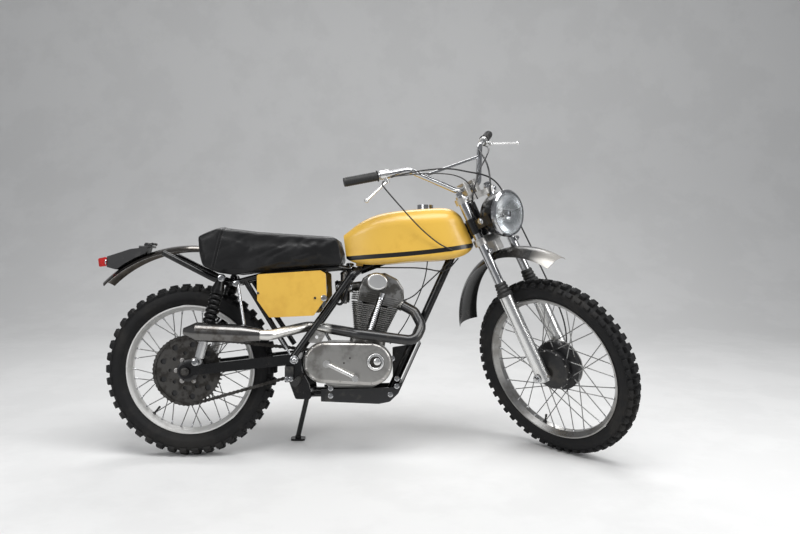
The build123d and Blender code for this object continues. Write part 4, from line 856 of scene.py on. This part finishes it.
def knob(work, matrix, length, width, rise):
    """A tread block: x up, y along the tread, z across it. It is wider at its foot."""
    rings = []
    for up, share in ((-3, 1.16), (rise * 0.25, 1.04), (rise - 1.6, 0.985), (rise - 0.4, 0.93), (rise, 0.84)):
        ring = []
        corners = [(-1, -0.86), (-0.9, -1), (0.9, -1), (1, -0.86), (1, 0.86), (0.9, 1), (-0.9, 1), (-1, 0.86)]
        for sy, sz in corners:
            ring.append(work.verts.new(matrix @ Vector((up, sy * length / 2 * share, sz * width / 2 * share))))
        rings.append(ring)
    for low, high in zip(rings, rings[1:]):
        for step in range(8):
            work.faces.new((low[step], low[(step + 1) % 8], high[(step + 1) % 8], high[step]))
    work.faces.new(rings[-1])


def tyre(name, node, body, radius, width, rim_radius, rim_width, rows, length):
    base = radius - KNOB_RISE
    bead = rim_radius + 0.6
    depth = base - bead
    half = width / 2 - KNOB_RISE / 2
    foot = rim_width / 2 - 2.5
    right = smooth_line([
        (foot, bead + 1), (foot + 3, bead + 0.10 * depth), (half - 2.2, bead + 0.32 * depth),
        (half, bead + 0.50 * depth), (0.95 * half, bead + 0.69 * depth), (0.76 * half, bead + 0.84 * depth),
        (0.46 * half, bead + 0.945 * depth), (0, bead + 0.985 * depth),
    ])
    ribs = []
    for y, reach in right:
        share = (reach - bead) / depth
        rise = 0.9 if 0.10 < share < 0.16 else 0.5 if 0.36 < share < 0.40 or 0.46 < share < 0.49 else 0.0
        ribs.append((y + rise, reach))
    outer = [(-y, reach) for y, reach in ribs] + [(y, reach) for y, reach in reversed(ribs[:-1])]
    work = bmesh.new()
    turn(work, outer + [(foot - 3, bead + 4), (-foot + 3, bead + 4), outer[0]], (0, 0, 0), (0, 1, 0), 160)
    along_tread = Matrix.Rotation(math.radians(90), 4, "X")
    for row in range(rows):
        spin = Matrix.Rotation(-2 * math.pi * row / rows, 4, "Y")
        seat = spin @ Matrix.Translation((base - 0.02 * depth, 0, 0))
        knob(work, seat @ along_tread, length, 0.62 * half, KNOB_RISE + 0.02 * depth)
        for way_out in (-1, 1):
            seat = spin @ Matrix.Translation((base - 0.15 * depth, way_out * half * 0.70, 0))
            tilt = Matrix.Rotation(way_out * math.radians(38), 4, "Z")
            knob(work, seat @ tilt @ along_tread, length, 0.44 * half, KNOB_RISE * 0.95)
    piece = place(name, work, WHEELS[body][0], "tyre", body, 42)
    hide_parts(node)
    print(name, len(piece.data.polygons), "faces")


# Piece, node, body, radius, width, rim radius, rim width, rows of knobs, knob length
for row in (
    ("rear_tyre_tread", "rear_tyre", "rear_wheel", 325.0, 104.0, 243.5, 62.0, 42, 26.0),
    ("front_tyre_tread", "front_tyre", "front_wheel", 351.0, 84.0, 281.5, 54.0, 54, 22.0),
):
    tyre(*row)

# %% [markdown]
# The chain is laid link by link along two sprocket arcs and two straight runs: rollers between two
# inner plates, then two outer plates, each plate waisted like a figure of eight.

# %% Drive chain
PITCH = 15.875
CHAIN_SIDE = -62.0
BIG = (0.0, 325.0, PITCH / 2 / math.sin(math.pi / 50))
SMALL = (462.0, 366.0, PITCH / 2 / math.sin(math.pi / 15))


def chain_path():
    """Points along the pitch line, as (x, z), starting on the top run."""
    dx, dz = SMALL[0] - BIG[0], SMALL[1] - BIG[1]
    span = math.hypot(dx, dz)
    lean = math.atan2(dz, dx)
    wrap = math.acos((BIG[2] - SMALL[2]) / span)
    points = []
    for step in range(181):
        angle = lean + wrap + (2 * math.pi - 2 * wrap) * step / 180
        points.append((BIG[0] + BIG[2] * math.cos(angle), BIG[1] + BIG[2] * math.sin(angle)))
    for step in range(91):
        angle = lean - wrap + 2 * wrap * step / 90
        points.append((SMALL[0] + SMALL[2] * math.cos(angle), SMALL[1] + SMALL[2] * math.sin(angle)))
    return points + [points[0]]


def spaced(points, count):
    """The path cut into equal steps."""
    lengths = [0.0]
    for a, b in zip(points, points[1:]):
        lengths.append(lengths[-1] + math.dist(a, b))
    out, part = [], 0
    for number in range(count):
        want = lengths[-1] * number / count
        while lengths[part + 1] < want:
            part += 1
        share = (want - lengths[part]) / (lengths[part + 1] - lengths[part])
        a, b = points[part], points[part + 1]
        out.append((a[0] + (b[0] - a[0]) * share, a[1] + (b[1] - a[1]) * share))
    return out


path = chain_path()
LINKS = 2 * round(sum(math.dist(a, b) for a, b in zip(path, path[1:])) / PITCH / 2)
pins = spaced(path, LINKS)


def plate(work, a, b, y, thick, radius, waist):
    """One link plate between two pins."""
    along = Vector((b[0] - a[0], 0, b[1] - a[1]))
    length = along.length
    along.normalize()
    up = Vector((-along.z, 0, along.x))
    line = []
    for centre, turns in ((0, range(60, 301, 40)), (length, range(-120, 121, 40))):
        for degrees in turns:
            angle = math.radians(degrees)
            line.append((centre + radius * math.cos(angle), radius * math.sin(angle)))
        line.append((length / 2, -waist if centre == 0 else waist))
    near, far = [], []
    for s, t in line:
        point = Vector((a[0], 0, a[1])) + along * s + up * t
        near.append(work.verts.new((point.x, y, point.z)))
        far.append(work.verts.new((point.x, y + thick, point.z)))
    work.faces.new(near)
    work.faces.new(list(reversed(far)))
    for step in range(len(line)):
        after = (step + 1) % len(line)
        work.faces.new((near[step], near[after], far[after], far[step]))


PLATE_THICK = 1.5
work = bmesh.new()
for number, pin in enumerate(pins):
    for y in ((-7.6, 6.1) if number % 2 else (-5.9, 4.4)):
        plate(work, pin, pins[(number + 1) % LINKS], CHAIN_SIDE + y, PLATE_THICK, 6.6, 4.4)
    for half, radius, steps in ((4.2, 5.0, 10), (8, 2.2, 8)):
        profile = [(-half, 0), (-half, radius), (half, radius), (half, 0)]
        turn(work, profile, (pin[0], CHAIN_SIDE, pin[1]), (0, 1, 0), steps)
chain = place("chain_links", work, BIKE, "dark_steel", "chassis")
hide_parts("drive_chain")
print("chain of", LINKS, "links")

# %% [markdown]
# Bolts, nuts and screws are short tables of a place, a direction and a size, joined into one mesh a
# table.

# %% Fasteners
RIGHT, UP, AHEAD = (0, -1, 0), (0, 0, 1), (1, 0, 0)
COVER_FACE = -123.6
PANEL_SIDE = 144
REAR_AXLE = 325


def fasteners(name, table, look, body, matrix=BIKE, kind=bolt):
    work = bmesh.new()
    for point, axis, size in table:
        kind(work, point, axis, size)
    place(name, work, matrix, look, body)


def both_sides(*rows):
    """Table rows from (x, y, z, size), first all on the right side and then all on the left."""
    return [((x, way_out * y, z), (0, way_out, 0), size) for way_out in (-1, 1) for x, y, z, size in rows]


def ring(x, z, radius, angles):
    """Points (x, z) on a circle, at angles in degrees."""
    return [(x + radius * math.cos(math.radians(a)), z + radius * math.sin(math.radians(a))) for a in angles]


CAP = [(0, 0), (0, 15), (2.5, 15), (3.5, 13.6), (3.5, 11), (8, 9.6), (10.5, 6), (11.5, 0)]
caps = [(CAP, (404.7, way_out * 128, 372.9), (0, way_out, 0), 36) for way_out in (-1, 1)]
turned("pivot_caps", caps, BIKE, "chrome", "chassis")
spots = ring(514, 362, 69, (95, 128, 160, 200, 235, 262)) + ring(686, 358, 72, (-85, -50, -18, 22, 58, 84))
spots += [(x, z) for x in (574, 630) for z in (296, 428)]
cover_screws = [((x, COVER_FACE, z), RIGHT, 8.5) for x, z in spots]
fasteners("cover_screws", cover_screws, "steel", "chassis", kind=screw)
timing_plugs = [((588.3, -124.2, 362.4), RIGHT, 7), ((610.3, -124.2, 380.9), RIGHT, 7)]
fasteners("timing_plugs", timing_plugs, "dark_steel", "chassis", kind=screw)
frame_bolts = [((765, -84, 376), RIGHT, 13), ((784, -78, 272), RIGHT, 12), ((784, -78, 300), RIGHT, 12)]
frame_bolts += both_sides((536, 74.2, 262, 12), (536, 74.2, 234, 12), (760, 74.2, 240, 12))
fasteners("frame_bolts", frame_bolts, "chrome", "chassis")
stay_bolts = [((189.3, -119.2, 652), RIGHT, 13), ((178.7, -100, 652), RIGHT, 11)]
stay_bolts += both_sides((139, 148.4, 672, 15)) + both_sides((46, 148.4, 364, 15))
fasteners("stay_bolts", stay_bolts, "chrome", "chassis")
fasteners("rear_axle_nuts", both_sides((0, 116, REAR_AXLE, 19)), "dark_steel", "chassis")
CARRIER = [(0, 16), (0, 113), (2.4, 113), (2.4, 16)]
CENTRE_DISC = [(0, 15), (0, 40), (1.2, 41), (2.6, 39), (3.0, 30), (3.0, 15)]
carrier = [(CARRIER, (0, -58.9, REAR_AXLE), (0, 1, 0), 72), (CENTRE_DISC, (0, -64.9, REAR_AXLE), RIGHT, 48)]
turned("sprocket_carrier", carrier, BIKE, "black_satin", "rear_wheel")
sprocket_bolts = [((x, -65.2, z), RIGHT, 11) for x, z in ring(0, REAR_AXLE, 44, range(0, 360, 60))]
fasteners("sprocket_bolts", sprocket_bolts, "steel", "rear_wheel")
panel_screws = both_sides((273, PANEL_SIDE, 618.8, 9), (481.8, PANEL_SIDE, 601.7, 9))
fasteners("panel_screws", panel_screws, "dark_steel", "chassis", kind=screw)
fasteners("panel_bolt", [((514.7, -PANEL_SIDE, 601.8), RIGHT, 14)], "chrome", "chassis")
head_bolts = [((x, y, 742), UP, 12) for x in (630, 694) for y in (-30, 30)]
fasteners("head_bolts", head_bolts, "dark_steel", "chassis")
LEG = 82
fork_bolts = [((55, -LEG, 733.5), UP, 22), ((55, LEG, 733.5), UP, 22), ((17, 0, 745), UP, 24)]
fork_bolts += [((82, y, z), AHEAD, 11) for z in (716, 505) for y in (-LEG, LEG)]
fasteners("fork_bolts", fork_bolts, "chrome", "steering", FORK)
front_axle_nuts = [((55, -114, 0), RIGHT, 20), ((55, 118, 0), (0, 1, 0), 20)]
fasteners("front_axle_nuts", front_axle_nuts, "chrome", "steering", FORK)
pinch_bolts = [((79, y, -8), AHEAD, 9) for y in (-LEG, LEG)]
fasteners("pinch_bolts", pinch_bolts, "steel", "steering", FORK)
print("fasteners made")

# %% [markdown]
# Small brackets, rods, blocks and pipes fill the gaps that a bare frame would show.

# %% Brackets, blocks and grips
outline = [(452, 441), (463, 476), (470, 483), (512, 472), (516, 464), (503, 440), (496, 432), (460, 434)]
hole = ring(484, 455, 6.5, range(0, 360, 45))
work = bmesh.new()
walls = [
    [[work.verts.new((x, y, z)) for x, z in line] for y in (-96, -91)] for line in (outline, hole)
]
for loops in zip(*walls):
    edges = []
    for loop in loops:
        for step in range(len(loop)):
            edges.append(work.edges.new((loop[step], loop[(step + 1) % len(loop)])))
    bmesh.ops.triangle_fill(work, edges=edges, use_beauty=True)
for low, high in walls:
    for step in range(len(low)):
        after = (step + 1) % len(low)
        work.faces.new((low[step], low[after], high[after], high[step]))
place("engine_bracket", work, BIKE, "clamp_alloy", "chassis", 30)
bracket_bolts = [((466, -96, 470), RIGHT, 9), ((500, -96, 462), RIGHT, 9)]
fasteners("bracket_bolts", bracket_bolts, "steel", "chassis")

work = bmesh.new()
box_between(work, (372, -140, 292), (404, -122, 350))
box_between(work, (372, 122, 292), (404, 140, 350))
place("footrest_blocks", work, BIKE, "black_satin", "chassis", 25)
footrest_bolts = both_sides((382, 140, 304, 11), (396, 140, 304, 11))
fasteners("footrest_bolts", footrest_bolts, "chrome", "chassis")
work = bmesh.new()
sweep_tube(work, [Vector(p) for p in ((352, -124, 452), (372, -126, 424), (392, -128, 392))], 3.6, 12)
place("brace_rod", work, BIKE, "chrome", "chassis")


def ends_of(points):
    """The two ends of a long round body's axis, from its mesh points."""
    middle = sum(points, Vector()) / len(points)
    far = max(points, key=lambda point: (point - middle).length)
    other = max(points, key=lambda point: (point - far).length)
    along = (other - far).normalized()
    for _ in range(3):
        halves = [[p for p in points if way_out * (p - middle).dot(along) > 20] for way_out in (1, -1)]
        ahead, behind = (sum(half, Vector()) / len(half) for half in halves)
        along = (ahead - behind).normalized()
    reach = [(point - middle).dot(along) for point in points]
    return middle + along * min(reach), middle + along * max(reach)


grip = nodes["handlebar_grips"]
grip_points = [FORK.inverted() @ (grip.matrix_world @ vert.co) for vert in grip.data.vertices]
rows = []
for way_out in (-1, 1):
    points = [point for point in grip_points if point.y * way_out > 0]
    start, end = sorted(ends_of(points), key=lambda point: abs(point.y))
    along = (end - start).normalized()
    radius = max(((p - start) - along * (p - start).dot(along)).length for p in points)
    print("grip", way_out, [round(v) for v in start], [round(v) for v in end], "radius", round(radius, 1))
    rib = [(-1.8, radius - 1), (-1.3, radius + 0.6), (1.3, radius + 0.6), (1.8, radius - 1)]
    rows += [(rib, start.lerp(end, 0.10 + 0.82 * number / 15), end - start, 28) for number in range(16)]
    collar = ((0, -2), (0, 3), (1, 4), (3, 4), (4.5, 1), (5, -2))
    rows.append(([(step, radius + rise) for step, rise in collar], start, end - start, 32))
turned("grip_ribs", rows, FORK, "rubber", "steering")

# %% Tap, carburettor and timing cap
TAP = [(0, 0), (0, 15), (5, 15), (6, 13), (6, 9), (20, 8), (22, 10), (28, 10), (29, 8), (29, 0)]
TAP_LEVER = [(0, 0), (0, 5), (16, 5), (17, 3), (17, 0)]
turned(
    "fuel_tap", [(TAP, (604, -46, 728), (0, -0.35, -1), 24), (TAP_LEVER, (604, -54, 714), (0.3, -1, 0), 16)],
    BIKE, "chrome", "chassis",
)
DOWN = (0, 0, -1)
carburettor = [
    ([(0, 0), (0, 19), (5, 19.5), (7, 18), (9, 18), (12, 14), (15, 6), (15, 0)], (584, -8, 688), UP, 32),
    ([(0, 0), (0, 6), (10, 6), (11, 4), (18, 3.4), (18, 0)], (584, -8, 700), UP, 16),
    ([(0, 12.5), (0, 16), (10, 16), (10, 12.5)], (584, -8, 592), DOWN, 28),
    ([(0, 0), (0, 7.5), (6, 7.5), (7, 6), (7, 0)], (584, -8, 584), DOWN, 6),
]
turned("carburettor_top", carburettor, BIKE, "clamp_alloy", "chassis")
clips = []
for x, bore, band, lip in ((553, 23.2, 29, 29.6), (604, 18.2, 24, 24.6)):
    profile = [(0, bore), (0, band), (1, lip), (7, lip), (8, band), (8, bore)]
    clips.append((profile, (x, -8, 636.6 + (x - 548) * 0.12), (1, 0, 0.12), 32))
turned("carburettor_clips", clips, BIKE, "chrome", "chassis")
CAP_CENTRE = (705, -135, 367)
cap_rim = [
    ([(0, 31), (0, 23), (0.6, 22), (2.6, 22), (3.4, 23), (3.4, 29.5), (2.4, 31), (0, 31)], CAP_CENTRE, RIGHT, 64),
    ([(0, 0), (0, 12), (1.2, 13.5), (2.6, 13), (4.4, 9), (5.2, 4), (5.4, 0)], (711, -135.6, 369), RIGHT, 40),
]
turned("timing_cap_rim", cap_rim, BIKE, "polished_alloy", "chassis")
cap_face = [([(0, 0), (0, 22.5), (0.5, 22.5), (0.5, 0)], CAP_CENTRE, RIGHT, 48)]
turned("timing_cap_face", cap_face, BIKE, "dark_steel", "chassis", 30)
print("carburettor, tap and timing cap made")

# %% [markdown]
# The tail light has a small bracket with two rubber bushes and two bolts, and its lens has a bright
# rim.

# %% Tail bracket and lens rim
BUSH = [(0, 0), (0, 9), (3, 10), (9, 10), (11, 7), (13, 7), (14, 4), (14, 0)]
BRACKET_BOLT = [(0, 0), (0, 6), (9, 6), (10, 4), (10, 0)]
work = bmesh.new()
box_between(work, (-200, -30, 786), (-150, 30, 794))
for y in (-20, 20):
    turn(work, BUSH, (-172, y, 792), UP, 20)
    turn(work, BRACKET_BOLT, (-150, y, 796), (0.25, 0, 1), 6)
place("tail_bracket", work, BIKE, "black_satin", "chassis", 30)
LENS_HEIGHT = 731.5
work = bmesh.new()
turn(work, [(0, 41), (0, 44.5), (1.2, 45), (4, 45), (5, 43.5), (5, 41)], (-318.5, 0, LENS_HEIGHT), (-1, 0, 0), 48)
for vert in work.verts:
    vert.co.z = LENS_HEIGHT + (vert.co.z - LENS_HEIGHT) * 0.47
place("tail_lens_rim", work, BIKE, "chrome", "chassis")
print("tail made")

# %% [markdown]
# The room is a pale sweep and soft light: one large light overhead, one by the camera, one from
# behind that draws the top edges.

# %% Floor and light
def sweep():
    """A floor that curves up into a wall behind the motorcycle."""
    bend, radius = 2.4, 2.2
    line = [(-9.0, 0.0), (-2.0, 0.0), (bend, 0.0)]
    for step in range(1, 13):
        angle = math.radians(90 * step / 12)
        line.append((bend + radius * math.sin(angle), radius - radius * math.cos(angle)))
    line.append((4.6, 9.0))
    mesh = bpy.data.meshes.new("floor")
    work = bmesh.new()
    rows = [[work.verts.new((x, y, z)) for x in (-14.0, 14.0)] for y, z in line]
    for low, high in zip(rows, rows[1:]):
        face = work.faces.new((low[0], low[1], high[1], high[0]))
        face.smooth = True
    work.to_mesh(mesh)
    work.free()
    return add_object("floor", mesh)


floor = sweep()
floor_look = surface("floor", (0.72, 0.72, 0.715), (0.69, 0.69, 0.685), 0.5, 2.0, 0.0, 0.7, 0.85, 60, 0.02)
floor_look.shader.inputs["Specular IOR Level"].default_value = 0.2
surfaces["floor"] = floor_look
paint(floor, "floor")


def soft_light(name, spot, target, width, height, power):
    data = bpy.data.lights.new(name, "AREA")
    data.shape = "RECTANGLE"
    data.size = width
    data.size_y = height
    data.energy = power
    obj = add_object(name, data)
    obj.location = spot
    obj.rotation_euler = (Vector(target) - Vector(spot)).to_track_quat("-Z", "Y").to_euler()


soft_light("overhead", (0.2, -1.1, 3.4), (0.1, -0.1, 0.5), 3.4, 1.6, 108)
soft_light("camera_side", (-2.6, -3.2, 2.4), (0, 0, 0.5), 1.8, 1.8, 44)
soft_light("front_side", (3.0, -1.6, 2.0), (0.3, 0, 0.6), 1.4, 1.8, 40)
soft_light("behind", (0.0, 2.2, 3.0), (0, 0, 0.6), 3.0, 1.0, 46)
world = bpy.data.worlds.new("world")
world.use_nodes = True
background = world.node_tree.nodes["Background"].inputs
background["Color"].default_value = (0.86, 0.88, 0.92, 1)
background["Strength"].default_value = 0.31
bpy.context.scene.world = world
